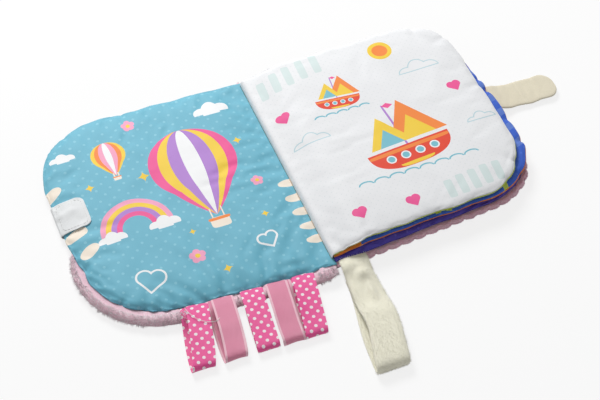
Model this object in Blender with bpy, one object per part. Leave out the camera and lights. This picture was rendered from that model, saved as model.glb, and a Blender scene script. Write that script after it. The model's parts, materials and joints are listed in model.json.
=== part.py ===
"""A soft crinkle cloth book for a baby, lying open at its first page.

The book is modelled as it is sewn. Each cover is a plush outside, a wadding, a sheet of crinkle film
and a printed lining. Each leaf is two cloths with wadding and film between them. Ribbon loops, a
fleece strap that makes a loop, and a fleece closure tab are sewn into the seams.

Units are metres and +Z is up. The page fold is a line along Y. Inside the script every piece is
placed from that line (X across the pages, 0 at the fold) and from the table (Z = 0). The root empty
then puts the middle of the back cover's underside at the world's origin.
"""

import math

import bmesh
import bpy
from mathutils import Vector

MM = 0.001

# Layer thicknesses and clearances
GAP = 0.3 * MM
COVER_THICKNESS = 10.0 * MM
LEAF_THICKNESS = 5.4 * MM
PLUSH_FLOOR = 2.0 * MM
CLOTH = 0.9 * MM
LINING = 1.0 * MM
FILM = 0.4 * MM

# Heights of the flat middle of each sheet of the stack on the right
LEAF_B_MIDDLE = COVER_THICKNESS + GAP + LEAF_THICKNESS / 2
LEAF_A_MIDDLE = LEAF_B_MIDDLE + LEAF_THICKNESS + GAP
STACK_TOP = LEAF_A_MIDDLE + LEAF_THICKNESS / 2
CLOSED_THICKNESS = STACK_TOP + GAP + COVER_THICKNESS
FOLD_HEIGHT = CLOSED_THICKNESS / 2

# Where the sheets come together at the fold
ROOT_GAP = 0.6 * MM
COVER_ROOT_TOP = 8.2 * MM
COVER_ROOT_BOTTOM = 5.2 * MM
LINING_ROOT = 1.1 * MM
LEAF_ROOT_THICKNESS = 1.6 * MM
LEAF_ROOT_STEP = 2.4 * MM
LEAF_ROOT_REST = 0.6 * MM
LEAF_B_ROOT = COVER_ROOT_TOP + LEAF_ROOT_REST + LEAF_ROOT_THICKNESS / 2
LEAF_A_ROOT = LEAF_B_ROOT + LEAF_ROOT_STEP
RISE_REACH = 28.0 * MM
UNDERSIDE_REACH = 16.0 * MM
INNER_ROOT = 20.0 * MM
RISE_STOPS = (ROOT_GAP, 4.0 * MM, 9.0 * MM, 14.0 * MM, INNER_ROOT, RISE_REACH)

# Points on the straight run between the fold's slope and a corner's arc, as shares of that run
EDGE_SHARES = (0.35, 0.7)
CORNER_STEPS = 8
SMOOTH_ANGLE = math.radians(40.0)

# Crown of a printed sheet: distance in from its seam, and share of the full rise reached there
CROWN_INSETS = (0.0, 3.0 * MM, 8.0 * MM, 18.0 * MM, 36.0 * MM)
LINING_CROWN_SHARES = (0.0, 0.3, 0.55, 0.76, 1.0)
LEAF_CROWN_SHARES = (0.0, 0.42, 0.79, 0.94, 1.0)
LINING_SEAM = 6.3 * MM
LEAF_SEAM_HALF = 1.05 * MM
INNER_INSETS = (6.0 * MM, 12.0 * MM, 36.0 * MM)

# Plush edge that rolls round the lining's seam
RIM_TOP = 6.0 * MM
RIM_SIDE_TOP = 4.2 * MM
RIM_SIDE_BOTTOM = 2.6 * MM
RIM_ROLL_SHARE = 0.7
RIM_ROLL_TOP = 5.5 * MM
RIM_ROLL_BOTTOM = 0.9 * MM
RIM_INNER_INSETS = (3.5 * MM, 5.0 * MM, 9.0 * MM)
RIM_INNER_HEIGHTS = (5.4 * MM, 2.8 * MM, PLUSH_FLOOR)

# Front cover's lining: its width, its lower and upper edge at the fold and at the fore-edge
FRONT_WIDTH = 168.0 * MM
FRONT_ROOT_BOTTOM = -94.0 * MM
FRONT_ROOT_TOP = 96.0 * MM
FRONT_OUTER_BOTTOM = -86.5 * MM
FRONT_OUTER_TOP = 101.6 * MM
FRONT_BOTTOM_RADIUS = 55.5 * MM
FRONT_TOP_RADIUS = 52.0 * MM

# Back cover's lining, in the same way
BACK_WIDTH = 172.0 * MM
BACK_ROOT_BOTTOM = -92.0 * MM
BACK_ROOT_TOP = 95.0 * MM
BACK_OUTER_BOTTOM = -80.0 * MM
BACK_OUTER_TOP = 99.0 * MM
BACK_RADIUS = 48.0 * MM

# How far the plush stands out round a lining
PLUSH_MARGIN = 4.0 * MM
FRONT_BOTTOM_MARGIN = 7.0 * MM

# Leaves, cut to the back cover's size but for these differences
LEAF_ROOT_SHORT = 3.3 * MM
LEAF_A_ROOT_TOP_SHORT = 1.5 * MM
LEAF_A_BOTTOM_NARROW = 7.5 * MM
LEAF_A_TOP_NARROW = 6.5 * MM
LEAF_A_BOTTOM_LOW = 2.5 * MM
LEAF_A_TOP_SHORT = 3.5 * MM
LEAF_A_BOTTOM_RADIUS = 42.0 * MM
LEAF_A_TOP_RADIUS = 37.0 * MM
LEAF_B_ROOT_TOP_SHORT = 2.0 * MM
LEAF_B_BOTTOM_WIDE = 4.5 * MM
LEAF_B_TOP_NARROW = 8.5 * MM
LEAF_B_BOTTOM_LOW = 2.0 * MM
LEAF_B_TOP_SHORT = 6.0 * MM
LEAF_B_TOP_RADIUS = 38.0 * MM

# Spine
SPINE_HALF_ANGLE = math.radians(25.0)
SPINE_THICKNESS = 1.8 * MM
SPINE_STEPS = 8
SPINE_OVERHANG = 1.0 * MM

# Ribbon loops: middle of the root from the fold, and how far the loop leans towards the fore-edge
RIBBON_WIDTH = 16.0 * MM
RIBBON_THICKNESS = 0.7 * MM
RIBBON_LENGTH = 50.0 * MM
RIBBON_HEIGHT = 6.8 * MM
RIBBON_PLACES = (102.6 * MM, 84.5 * MM, 63.5 * MM, 45.0 * MM, 25.3 * MM)
RIBBON_LEANS = (11.0 * MM, 6.0 * MM, 5.5 * MM, 6.7 * MM, 8.8 * MM)
RIBBON_OVER_RIM_SHARE = 0.09
RIBBON_DOWN_SHARE = 0.27
RIBBON_NEAR_TABLE_SHARE = 0.4
RIBBON_LEVEL_SHARE = 0.66
LOOP_END_STEPS = 8

# Fleece strap
STRAP_THICKNESS = 1.8 * MM
STRAP_LENGTH = 99.0 * MM
STRAP_HEIGHT = 10.0 * MM
STRAP_MIDDLE = 13.0 * MM
STRAP_LEAN = 9.5 * MM
STRAP_ROOT_WIDTH = 22.0 * MM
STRAP_END_WIDTH = 28.0 * MM
PAD_LENGTH = 24.0 * MM
PAD_WIDTH = 19.0 * MM
PAD_THICKNESS = 1.0 * MM
PAD_FROM_ROOT = 15.0 * MM

# Closure tab: its way down from the seam goes by shares of the plush margin
TAB_THICKNESS = 1.8 * MM
TAB_WIDTH = 25.0 * MM
TAB_LENGTH = 55.0 * MM
TAB_MIDDLE = 9.5 * MM
TAB_ROOT_GAP = 0.5 * MM
TAB_REST = 2.3 * MM
TAB_CLEARANCE = 1.0 * MM
TAB_SPLIT = 0.3 * MM
TAB_DROP_SHARES = (0.8, 1.9, 2.8, 3.7)
TAB_CORNER_SHARE = 0.4
TAB_END_ANGLE = math.radians(88.0)
TAB_END_STEPS = 8

# Hook patch
PATCH_WIDTH = 28.0 * MM
PATCH_MIDDLE = 17.5 * MM
PATCH_DEPTH = 20.0 * MM
PATCH_THICKNESS = 0.7 * MM
PATCH_POCKET = 1.1 * MM
OVERRUN = 2.0 * MM

# Colours, as linear RGB
PLUSH_PINK = (0.80, 0.46, 0.53)
TEAL = (0.16, 0.44, 0.56)
PURPLE = (0.10, 0.06, 0.22)
WHITE = (0.76, 0.76, 0.76)
LIME = (0.55, 0.65, 0.12)
BLUE = (0.05, 0.15, 0.60)
ORANGE = (0.70, 0.20, 0.02)
HOT_PINK = (0.80, 0.09, 0.28)
SOFT_PINK = (0.72, 0.28, 0.40)
FLEECE = (0.74, 0.70, 0.58)
HOOK_WHITE = (0.70, 0.72, 0.74)
FILM_CLEAR = (0.60, 0.66, 0.70)
WADDING_WHITE = (0.85, 0.85, 0.83)

# Roughness of each kind of surface
CLOTH_ROUGHNESS = 0.9
TAPE_ROUGHNESS = 0.8
SATIN_ROUGHNESS = 0.45
FILM_ROUGHNESS = 0.25


class Page:
    """The outline of one sheet: a rectangle with a square side at the fold and two round corners."""

    def __init__(self, side, roots, outer_bottom, outer_top, radii, margins):
        self.side = side
        self.root_bottom, self.root_top = roots
        self.outer_bottom = Vector(outer_bottom)
        self.outer_top = Vector(outer_top)
        self.bottom_radius, self.top_radius = radii
        self.margins = margins

    def bottom_edge(self, distance):
        """Y of the sheet's lower seam at a distance from the fold."""
        share = distance / self.outer_bottom.x
        return self.root_bottom + (self.outer_bottom.y - self.root_bottom) * share


FRONT = Page(
    -1,
    (FRONT_ROOT_BOTTOM, FRONT_ROOT_TOP),
    (FRONT_WIDTH, FRONT_OUTER_BOTTOM),
    (FRONT_WIDTH, FRONT_OUTER_TOP),
    (FRONT_BOTTOM_RADIUS, FRONT_TOP_RADIUS),
    (FRONT_BOTTOM_MARGIN, PLUSH_MARGIN, PLUSH_MARGIN),
)
BACK = Page(
    1,
    (BACK_ROOT_BOTTOM, BACK_ROOT_TOP),
    (BACK_WIDTH, BACK_OUTER_BOTTOM),
    (BACK_WIDTH, BACK_OUTER_TOP),
    (BACK_RADIUS, BACK_RADIUS),
    (PLUSH_MARGIN, PLUSH_MARGIN, PLUSH_MARGIN),
)
LEAF_A = Page(
    1,
    (BACK_ROOT_BOTTOM + LEAF_ROOT_SHORT, BACK_ROOT_TOP - LEAF_A_ROOT_TOP_SHORT),
    (BACK_WIDTH - LEAF_A_BOTTOM_NARROW, BACK_OUTER_BOTTOM - LEAF_A_BOTTOM_LOW),
    (BACK_WIDTH - LEAF_A_TOP_NARROW, BACK_OUTER_TOP - LEAF_A_TOP_SHORT),
    (LEAF_A_BOTTOM_RADIUS, LEAF_A_TOP_RADIUS),
    None,
)
LEAF_B = Page(
    1,
    (BACK_ROOT_BOTTOM + LEAF_ROOT_SHORT, BACK_ROOT_TOP - LEAF_B_ROOT_TOP_SHORT),
    (BACK_WIDTH + LEAF_B_BOTTOM_WIDE, BACK_OUTER_BOTTOM - LEAF_B_BOTTOM_LOW),
    (BACK_WIDTH - LEAF_B_TOP_NARROW, BACK_OUTER_TOP - LEAF_B_TOP_SHORT),
    (BACK_RADIUS, LEAF_B_TOP_RADIUS),
    None,
)
ROOT_X = -(BACK_WIDTH + PLUSH_MARGIN) / 2


def material(name, colour, roughness):
    """A Principled material of one colour."""
    mat = bpy.data.materials.new(name)
    mat.use_nodes = True
    shader = mat.node_tree.nodes["Principled BSDF"]
    shader.inputs["Base Color"].default_value = (*colour, 1.0)
    shader.inputs["Roughness"].default_value = roughness
    shader.inputs["Metallic"].default_value = 0.0
    return mat


def empty(name, place, parent=None):
    """An empty on a joint's axis, given in the book's own frame."""
    holder = bpy.data.objects.new(name, None)
    bpy.context.collection.objects.link(holder)
    holder["place"] = place
    if parent is None:
        holder.location = place
    else:
        holder.parent = parent
        holder.location = Vector(place) - Vector(parent["place"])
    return holder


def add_object(name, mesh, holder, colour, roughness=CLOTH_ROUGHNESS):
    """Links a mesh whose points are in the book's frame under the empty that carries it."""
    shift = Vector(holder["place"])
    for vertex in mesh.vertices:
        vertex.co -= shift
    obj = bpy.data.objects.new(name, mesh)
    bpy.context.collection.objects.link(obj)
    obj.parent = holder
    mesh.materials.append(material(name, colour, roughness))
    return obj


def finish_mesh(name, bm):
    """Turns a bmesh into a mesh with its faces out and its round stretches smooth."""
    bmesh.ops.recalc_face_normals(bm, faces=bm.faces)
    mesh = bpy.data.meshes.new(name)
    bm.to_mesh(mesh)
    bm.free()
    mesh.shade_smooth()
    mesh.set_sharp_from_angle(angle=SMOOTH_ANGLE)
    return mesh


def line_offset(start, end, distance):
    """A line moved to its left, as a point and a direction."""
    direction = (end - start).normalized()
    left = Vector((-direction.y, direction.x))
    return start + left * distance, direction


def crossing(first, second):
    """Where two lines, each a point and a direction, meet."""
    (p, d), (q, e) = first, second
    share = ((q.x - p.x) * e.y - (q.y - p.y) * e.x) / (d.x * e.y - d.y * e.x)
    return p + d * share


def corner_arc(corner, before, after, radius):
    """Points of the arc that rounds a corner between two directions."""
    turn = -before.angle_signed(after)
    start = corner - before * (radius * math.tan(turn / 2))
    left = Vector((-before.y, before.x))
    centre = start + left * radius
    arm = start - centre
    points = []
    for step in range(CORNER_STEPS + 1):
        angle = turn * step / CORNER_STEPS
        cos, sin = math.cos(angle), math.sin(angle)
        points.append(centre + Vector((arm.x * cos - arm.y * sin, arm.x * sin + arm.y * cos)))
    return points


def height_on(line, distance):
    """Y on a line at a distance from the fold."""
    point, direction = line
    return point.y + direction.y * (distance - point.x) / direction.x


def ring(page, offsets, root):
    """The outline moved in by (bottom, fore-edge, top) offsets, from the lower root to the upper one."""
    off_bottom, off_fore, off_top = offsets
    lower_root = Vector((0.0, page.root_bottom))
    upper_root = Vector((0.0, page.root_top))
    bottom = line_offset(lower_root, page.outer_bottom, off_bottom)
    fore = line_offset(page.outer_bottom, page.outer_top, off_fore)
    top = line_offset(page.outer_top, upper_root, off_top)
    low_radius = page.bottom_radius - (off_bottom + off_fore) / 2
    high_radius = page.top_radius - (off_top + off_fore) / 2
    low_arc = corner_arc(crossing(bottom, fore), bottom[1], fore[1], low_radius)
    high_arc = corner_arc(crossing(fore, top), fore[1], top[1], high_radius)

    def run(line, arc_end):
        stops = [stop for stop in RISE_STOPS if stop >= root]
        last = stops[-1]
        stops += [last + (arc_end.x - last) * share for share in EDGE_SHARES]
        return [Vector((stop, height_on(line, stop))) for stop in stops]

    return run(bottom, low_arc[0]) + low_arc + high_arc + run(top, high_arc[-1])[::-1]


def rise(distance):
    """0 at the fold and 1 where a sheet lies flat, as a smooth step."""
    share = (distance - ROOT_GAP) / (RISE_REACH - ROOT_GAP)
    share = min(max(share, 0.0), 1.0)
    return share * share * (3.0 - 2.0 * share)


def ramp(distance):
    """0 at the fold and 1 at the end of the cover's sloping underside, in a straight line."""
    return min(max((distance - ROOT_GAP) / (UNDERSIDE_REACH - ROOT_GAP), 0.0), 1.0)


def all_round(inset):
    """The same inset on all three free edges."""
    return (inset, inset, inset)


def outside(page, share):
    """A share of the plush margins, outside the lining's seam."""
    return tuple(-margin * share for margin in page.margins)


def add_surface(bm, page, rings, root_height, root, profile):
    """One face of a sheet: rings of (offsets, height) from the seam inwards, then rungs across."""
    rows = []
    for offsets, height in rings:
        row = []
        for point in ring(page, offsets, root):
            level = root_height + (height - root_height) * profile(point.x)
            row.append(bm.verts.new((page.side * point.x, point.y, level)))
        rows.append(row)
    for outer, inner in zip(rows, rows[1:]):
        for k in range(len(outer) - 1):
            bm.faces.new((outer[k], outer[k + 1], inner[k + 1], inner[k]))
    core = rows[-1]
    for k in range(len(core) // 2 - 1):
        bm.faces.new((core[k], core[k + 1], core[-2 - k], core[-1 - k]))
    return rows


def sheet(
    name, page, upper, lower, holder, colour, root=ROOT_GAP, roughness=CLOTH_ROUGHNESS, under=rise
):
    """A closed sheet between an upper and a lower surface, each (rings, height at the fold)."""
    bm = bmesh.new()
    top = add_surface(bm, page, upper[0], upper[1], root, rise)
    bottom = add_surface(bm, page, lower[0], lower[1], root, under)
    for k in range(len(top[0]) - 1):
        bm.faces.new((top[0][k], top[0][k + 1], bottom[0][k + 1], bottom[0][k]))
    edge = [row[0] for row in top] + [row[-1] for row in reversed(top)]
    edge += [row[-1] for row in bottom] + [row[0] for row in reversed(bottom)]
    bm.faces.new(edge)
    return add_object(name, finish_mesh(name, bm), holder, colour, roughness)


def crown(seam, full, shares, insets=CROWN_INSETS):
    """Rings that climb from the seam's height to the full height."""
    return [
        (all_round(inset), seam + (full - seam) * share) for inset, share in zip(insets, shares)
    ]


def crown_height(inset, seam, full, shares):
    """Height of a crowned surface at an inset, on the straight runs between its rings."""
    stops = list(zip(CROWN_INSETS, shares))
    for (near, low), (far, high) in zip(stops, stops[1:]):
        if inset <= far:
            part = low + (high - low) * (inset - near) / (far - near)
            return seam + (full - seam) * part
    return full


def lining_top(inset):
    """Height of the printed lining's upper face at a distance in from its seam."""
    return crown_height(inset, LINING_SEAM + LINING, COVER_THICKNESS, LINING_CROWN_SHARES)


def build_cover(prefix, page, holder, lining_colour):
    """Plush, wadding, crinkle film and printed lining of one cover."""
    roll = outside(page, RIM_ROLL_SHARE)
    rim = [
        (outside(page, 1.0), RIM_SIDE_TOP),
        (roll, RIM_ROLL_TOP),
        (all_round(0.0), RIM_TOP),
    ]
    rim += [
        (all_round(inset), height) for inset, height in zip(RIM_INNER_INSETS, RIM_INNER_HEIGHTS)
    ]
    underside = [
        (outside(page, 1.0), RIM_SIDE_BOTTOM),
        (roll, RIM_ROLL_BOTTOM),
        (all_round(0.0), 0.0),
    ]
    plush_root = COVER_ROOT_TOP - LINING_ROOT - GAP
    plush = sheet(
        prefix + "_plush",
        page,
        (rim, plush_root),
        (underside, COVER_ROOT_BOTTOM),
        holder,
        PLUSH_PINK,
        under=ramp,
    )

    lining_under = COVER_THICKNESS - LINING
    film_top = lining_under - GAP
    wadding_top = film_top - FILM - GAP

    def below_lining(drop):
        rings = []
        for inset in INNER_INSETS:
            rings.append((all_round(inset), lining_top(inset) - LINING - GAP - drop))
        return rings

    wadding_floor = PLUSH_FLOOR + GAP
    wadding_rings = [
        (all_round(INNER_INSETS[0]), wadding_floor + GAP),
        (all_round(INNER_INSETS[1]), wadding_floor),
    ]
    root_top = COVER_ROOT_TOP - LINING_ROOT - GAP
    sheet(
        prefix + "_wadding",
        page,
        (below_lining(FILM + GAP), root_top - FILM - GAP),
        (wadding_rings, plush_root + GAP),
        holder,
        WADDING_WHITE,
        root=INNER_ROOT,
    )
    sheet(
        prefix + "_crinkle_film",
        page,
        (below_lining(0.0), root_top),
        (below_lining(FILM), root_top - FILM),
        holder,
        FILM_CLEAR,
        root=INNER_ROOT,
        roughness=FILM_ROUGHNESS,
    )
    sheet(
        prefix + "_lining",
        page,
        (crown(LINING_SEAM + LINING, COVER_THICKNESS, LINING_CROWN_SHARES), COVER_ROOT_TOP),
        (crown(LINING_SEAM, lining_under, LINING_CROWN_SHARES), COVER_ROOT_TOP - LINING_ROOT),
        holder,
        lining_colour,
    )
    return plush


def build_leaf(prefix, page, middle, root, holder, front_colour, back_colour):
    """Front cloth, wadding, crinkle film and back cloth of one leaf."""
    half = LEAF_THICKNESS / 2
    root_half = LEAF_ROOT_THICKNESS / 2

    def cloth_rings(sign, outer, seam):
        return [
            (offsets, middle + sign * height)
            for offsets, height in crown(seam, outer, LEAF_CROWN_SHARES)
        ]

    for name, sign, colour in (("_front_cloth", 1, front_colour), ("_back_cloth", -1, back_colour)):
        faces = [
            (cloth_rings(sign, half, LEAF_SEAM_HALF), root + sign * root_half),
            (cloth_rings(sign, half - CLOTH, GAP / 2), root + sign * GAP / 2),
        ]
        upper, lower = faces if sign > 0 else faces[::-1]
        sheet(prefix + name, page, upper, lower, holder, colour)

    def inner_rings(sign, drop):
        rings = []
        for inset in INNER_INSETS:
            inner = crown_height(inset, GAP / 2, half - CLOTH, LEAF_CROWN_SHARES)
            rings.append((all_round(inset), middle + sign * (inner - drop)))
        return rings

    wadding_under = inner_rings(-1, GAP + FILM + GAP)
    sheet(
        prefix + "_wadding",
        page,
        (inner_rings(1, GAP), root - GAP / 2),
        (wadding_under, root - GAP),
        holder,
        WADDING_WHITE,
        root=INNER_ROOT,
    )
    sheet(
        prefix + "_crinkle_film",
        page,
        (inner_rings(-1, GAP + FILM), root),
        (inner_rings(-1, GAP), root),
        holder,
        FILM_CLEAR,
        root=INNER_ROOT,
        roughness=FILM_ROUGHNESS,
    )


def strip(name, path, widths, across, thickness, holder, colour, roughness=CLOTH_ROUGHNESS):
    """A flat band along a path of points, square to the across direction, with its own widths."""
    bm = bmesh.new()
    rows = []
    last = len(path) - 1
    for k, point in enumerate(path):
        before, after = path[max(k - 1, 0)], path[min(k + 1, last)]
        along = after - before
        along -= across * along.dot(across)
        normal = across.cross(along).normalized()
        side = across * (widths[k] / 2)
        face = normal * (thickness / 2)
        corners = (point - side - face, point + side - face, point + side + face, point - side + face)
        rows.append([bm.verts.new(corner) for corner in corners])
    for first, second in zip(rows, rows[1:]):
        for k in range(4):
            following = (k + 1) % 4
            bm.faces.new((first[k], first[following], second[following], second[k]))
    bm.faces.new(rows[0])
    bm.faces.new(rows[-1])
    return add_object(name, finish_mesh(name, bm), holder, colour, roughness)


def half_turn(centre_out, centre_up, radius):
    """(out, up) points of the round end of a folded band, from its top to its underside."""
    points = []
    for step in range(LOOP_END_STEPS + 1):
        angle = math.pi / 2 - math.pi * step / LOOP_END_STEPS
        points.append((centre_out + radius * math.cos(angle), centre_up + radius * math.sin(angle)))
    return points


def build_ribbons(holder):
    """Five satin loops sewn between the lining and the plush along the front cover's lower seam."""
    colours = (HOT_PINK, SOFT_PINK, HOT_PINK, SOFT_PINK, HOT_PINK)
    half = RIBBON_THICKNESS / 2
    radius = RIBBON_HEIGHT / 2 - half
    end = RIBBON_LENGTH - radius - half
    root_top = LINING_SEAM + LINING + LINING - half
    root_low = root_top - RIBBON_THICKNESS - GAP
    upper = [
        (0.0, root_top),
        (RIBBON_LENGTH * RIBBON_OVER_RIM_SHARE, root_top),
        (RIBBON_LENGTH * RIBBON_DOWN_SHARE, root_top - half),
        (RIBBON_LENGTH * RIBBON_LEVEL_SHARE, RIBBON_HEIGHT),
    ]
    lower = [
        (RIBBON_LENGTH * RIBBON_LEVEL_SHARE, half),
        (RIBBON_LENGTH * RIBBON_NEAR_TABLE_SHARE, RIBBON_THICKNESS),
        (RIBBON_LENGTH * RIBBON_DOWN_SHARE, RIM_SIDE_BOTTOM),
        (FRONT_BOTTOM_MARGIN + RIBBON_THICKNESS, RIM_ROLL_TOP),
        (RIBBON_LENGTH * RIBBON_OVER_RIM_SHARE, RIM_TOP + RIBBON_THICKNESS),
        (0.0, root_low),
    ]
    profile = upper + half_turn(end, RIBBON_HEIGHT / 2, radius) + lower
    for number, (place, lean) in enumerate(zip(RIBBON_PLACES, RIBBON_LEANS), start=1):
        seam = FRONT.bottom_edge(place - RIBBON_WIDTH / 2) - GAP
        name = "ribbon_loop_%d" % number
        pivot = empty(name + "_pivot", (-place, seam, root_top + half), holder)
        path = [
            Vector((-place - lean * out / RIBBON_LENGTH, seam - out, up)) for out, up in profile
        ]
        strip(
            name,
            path,
            [RIBBON_WIDTH] * len(path),
            Vector((1.0, 0.0, 0.0)),
            RIBBON_THICKNESS,
            pivot,
            colours[number - 1],
            roughness=SATIN_ROUGHNESS,
        )


def build_pram_strap(holder):
    """A fleece strap that folds back under itself and fastens with a hook pad and a loop pad."""
    half = STRAP_THICKNESS / 2
    radius = STRAP_HEIGHT / 2 - half
    end = STRAP_LENGTH - radius - half
    seam = BACK.bottom_edge(STRAP_MIDDLE - STRAP_ROOT_WIDTH / 2) - 2 * GAP
    root_up = COVER_ROOT_TOP + LINING - half
    pad_end = PAD_FROM_ROOT + PAD_LENGTH
    pad_base = STRAP_THICKNESS + GAP
    over_pads = pad_base + PAD_THICKNESS + GAP + PAD_THICKNESS + GAP + half
    swell = (STRAP_LENGTH - pad_end) / 3
    upper = [
        (0.0, root_up),
        (PLUSH_MARGIN + STRAP_THICKNESS, root_up - GAP),
        (PAD_FROM_ROOT - GAP, over_pads),
        (pad_end + GAP, over_pads),
        (pad_end + swell / 2, STRAP_HEIGHT - half - GAP),
        (pad_end + swell, STRAP_HEIGHT - half),
    ]
    lower = [(pad_end + swell, half), (pad_end, half), (PAD_FROM_ROOT - STRAP_THICKNESS, half)]
    profile = upper + half_turn(end, STRAP_HEIGHT / 2, radius) + lower
    pivot = empty("pram_strap_pivot", (STRAP_MIDDLE, seam, root_up + half), holder)
    across = Vector((1.0, 0.0, 0.0))

    def middle(out):
        return STRAP_MIDDLE - STRAP_LEAN * out / STRAP_LENGTH

    def width(out):
        return STRAP_ROOT_WIDTH + (STRAP_END_WIDTH - STRAP_ROOT_WIDTH) * out / STRAP_LENGTH

    path = [Vector((middle(out), seam - out, up)) for out, up in profile]
    widths = [width(out) for out, up in profile]
    strip("pram_strap", path, widths, across, STRAP_THICKNESS, pivot, FLEECE)
    pads = (
        ("pram_strap_hook_pad", pad_base + PAD_THICKNESS / 2),
        ("pram_strap_loop_pad", pad_base + PAD_THICKNESS + GAP + PAD_THICKNESS / 2),
    )
    for name, up in pads:
        pad_path = [Vector((middle(out), seam - out, up)) for out in (PAD_FROM_ROOT, pad_end)]
        pad_widths = [PAD_WIDTH] * len(pad_path)
        strip(
            name, pad_path, pad_widths, across, PAD_THICKNESS, pivot, HOOK_WHITE, TAPE_ROUGHNESS
        )


def build_closure_tab(holder):
    """A fleece tab in two pieces: one climbs the closed book's edge, one lies on its cover."""
    half = TAB_THICKNESS / 2
    root_out = BACK_WIDTH + TAB_ROOT_GAP
    root_up = LINING_SEAM + LINING + LINING - half
    hinge_up = root_up + half
    fold_out = root_out + CLOSED_THICKNESS + TAB_CLEARANCE - hinge_up
    level = TAB_REST + half
    drop_heights = (root_up - half / 2, level + TAB_THICKNESS, level + half / 2, level)
    base_profile = [(root_out, root_up)]
    for share, up in zip(TAB_DROP_SHARES, drop_heights):
        base_profile.append((root_out + PLUSH_MARGIN * share, up))
    base_profile.append((fold_out - TAB_SPLIT / 2, level))
    lift = empty("closure_tab_pivot", (root_out, TAB_MIDDLE, hinge_up), holder)
    fold = empty("closure_tab_fold_pivot", (fold_out, TAB_MIDDLE, level + half), lift)
    across = Vector((0.0, 1.0, 0.0))
    base_path = [Vector((out, TAB_MIDDLE, up)) for out, up in base_profile]
    widths = [TAB_WIDTH] * len(base_path)
    strip("closure_tab_base", base_path, widths, across, TAB_THICKNESS, lift, FLEECE)

    corner = TAB_WIDTH * TAB_CORNER_SHARE
    straight_end = BACK_WIDTH + TAB_LENGTH - corner
    tip_path = [Vector((fold_out + TAB_SPLIT / 2, TAB_MIDDLE, level))]
    tip_widths = [TAB_WIDTH]
    for step in range(TAB_END_STEPS + 1):
        angle = TAB_END_ANGLE * step / TAB_END_STEPS
        tip_path.append(Vector((straight_end + corner * math.sin(angle), TAB_MIDDLE, level)))
        tip_widths.append(TAB_WIDTH - 2 * corner * (1 - math.cos(angle)))
    strip("closure_tab_tip", tip_path, tip_widths, across, TAB_THICKNESS, fold, FLEECE)


def build_hook_patch(holder, plush):
    """A white square folded round the front cover's fore-edge, let into the plush underneath."""
    half = PATCH_THICKNESS / 2
    stand_off = GAP + half
    edge = FRONT_WIDTH + PLUSH_MARGIN
    insets = [inset for inset in CROWN_INSETS if inset < PATCH_DEPTH] + [PATCH_DEPTH]
    profile = [(FRONT_WIDTH - inset, lining_top(inset) + stand_off) for inset in insets[::-1]]
    profile += [
        (FRONT_WIDTH + PLUSH_MARGIN * RIM_ROLL_SHARE, RIM_TOP + PATCH_THICKNESS),
        (edge + stand_off, RIM_SIDE_TOP + half),
        (edge + stand_off, RIM_SIDE_BOTTOM - half),
        (FRONT_WIDTH + PLUSH_MARGIN * RIM_ROLL_SHARE, half),
        (FRONT_WIDTH - PATCH_DEPTH, half),
    ]
    path = [Vector((-out, PATCH_MIDDLE, up)) for out, up in profile]
    across = Vector((0.0, 1.0, 0.0))
    widths = [PATCH_WIDTH] * len(path)
    strip("hook_patch", path, widths, across, PATCH_THICKNESS, holder, HOOK_WHITE, TAPE_ROUGHNESS)

    pocket_out = (FRONT_WIDTH - PATCH_DEPTH - GAP, edge + OVERRUN)
    pocket_half = PATCH_WIDTH / 2 + GAP
    bm = bmesh.new()
    bmesh.ops.create_cube(bm, size=1.0)
    for vertex in bm.verts:
        vertex.co.x = -pocket_out[0] if vertex.co.x > 0 else -pocket_out[1]
        vertex.co.y = PATCH_MIDDLE + (pocket_half if vertex.co.y > 0 else -pocket_half)
        vertex.co.z = PATCH_POCKET if vertex.co.z > 0 else -OVERRUN
    cutter = add_object("patch_pocket", finish_mesh("patch_pocket", bm), holder, HOOK_WHITE)
    cutter.hide_render = True
    cutter.display_type = "WIRE"
    cut = plush.modifiers.new("patch pocket", "BOOLEAN")
    cut.operation = "DIFFERENCE"
    cut.solver = "EXACT"
    cut.object = cutter


def build_spine(holder):
    """The plush strip between the covers, curved about the fold and resting on the table."""
    outer = FOLD_HEIGHT
    inner = FOLD_HEIGHT - SPINE_THICKNESS
    bm = bmesh.new()
    ends = []
    for y in (FRONT_ROOT_BOTTOM - SPINE_OVERHANG, FRONT_ROOT_TOP + SPINE_OVERHANG):
        outline = []
        for radius, order in ((outer, 1), (inner, -1)):
            for step in range(SPINE_STEPS + 1):
                angle = SPINE_HALF_ANGLE * (2 * step / SPINE_STEPS - 1) * order
                outline.append((radius * math.sin(angle), FOLD_HEIGHT - radius * math.cos(angle)))
        ends.append([bm.verts.new((x, y, max(z, 0.0))) for x, z in outline])
    near, far = ends
    count = len(near)
    for k in range(count):
        following = (k + 1) % count
        bm.faces.new((near[k], near[following], far[following], far[k]))
    bm.faces.new(near)
    bm.faces.new(far)
    add_object("spine_panel", finish_mesh("spine_panel", bm), holder, PLUSH_PINK)


def build():
    """Clears the scene and builds the whole book."""
    for obj in list(bpy.data.objects):
        bpy.data.objects.remove(obj, do_unlink=True)
    book = empty("back_cover_frame", (0.0, 0.0, 0.0))
    fold = (0.0, 0.0, FOLD_HEIGHT)
    front_fold = empty("front_cover_fold", fold, book)
    spine_fold = empty("spine_fold", fold, book)
    leaf_b_fold = empty("leaf_b_fold", fold, book)
    leaf_a_fold = empty("leaf_a_fold", fold, leaf_b_fold)
    front_plush = build_cover("front_cover", FRONT, front_fold, TEAL)
    build_cover("back_cover", BACK, book, PURPLE)
    build_leaf("leaf_b", LEAF_B, LEAF_B_MIDDLE, LEAF_B_ROOT, leaf_b_fold, BLUE, ORANGE)
    build_leaf("leaf_a", LEAF_A, LEAF_A_MIDDLE, LEAF_A_ROOT, leaf_a_fold, WHITE, LIME)
    build_spine(spine_fold)
    build_hook_patch(front_fold, front_plush)
    build_ribbons(front_fold)
    build_pram_strap(book)
    build_closure_tab(book)
    book.location.x = ROOT_X


build()
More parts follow.
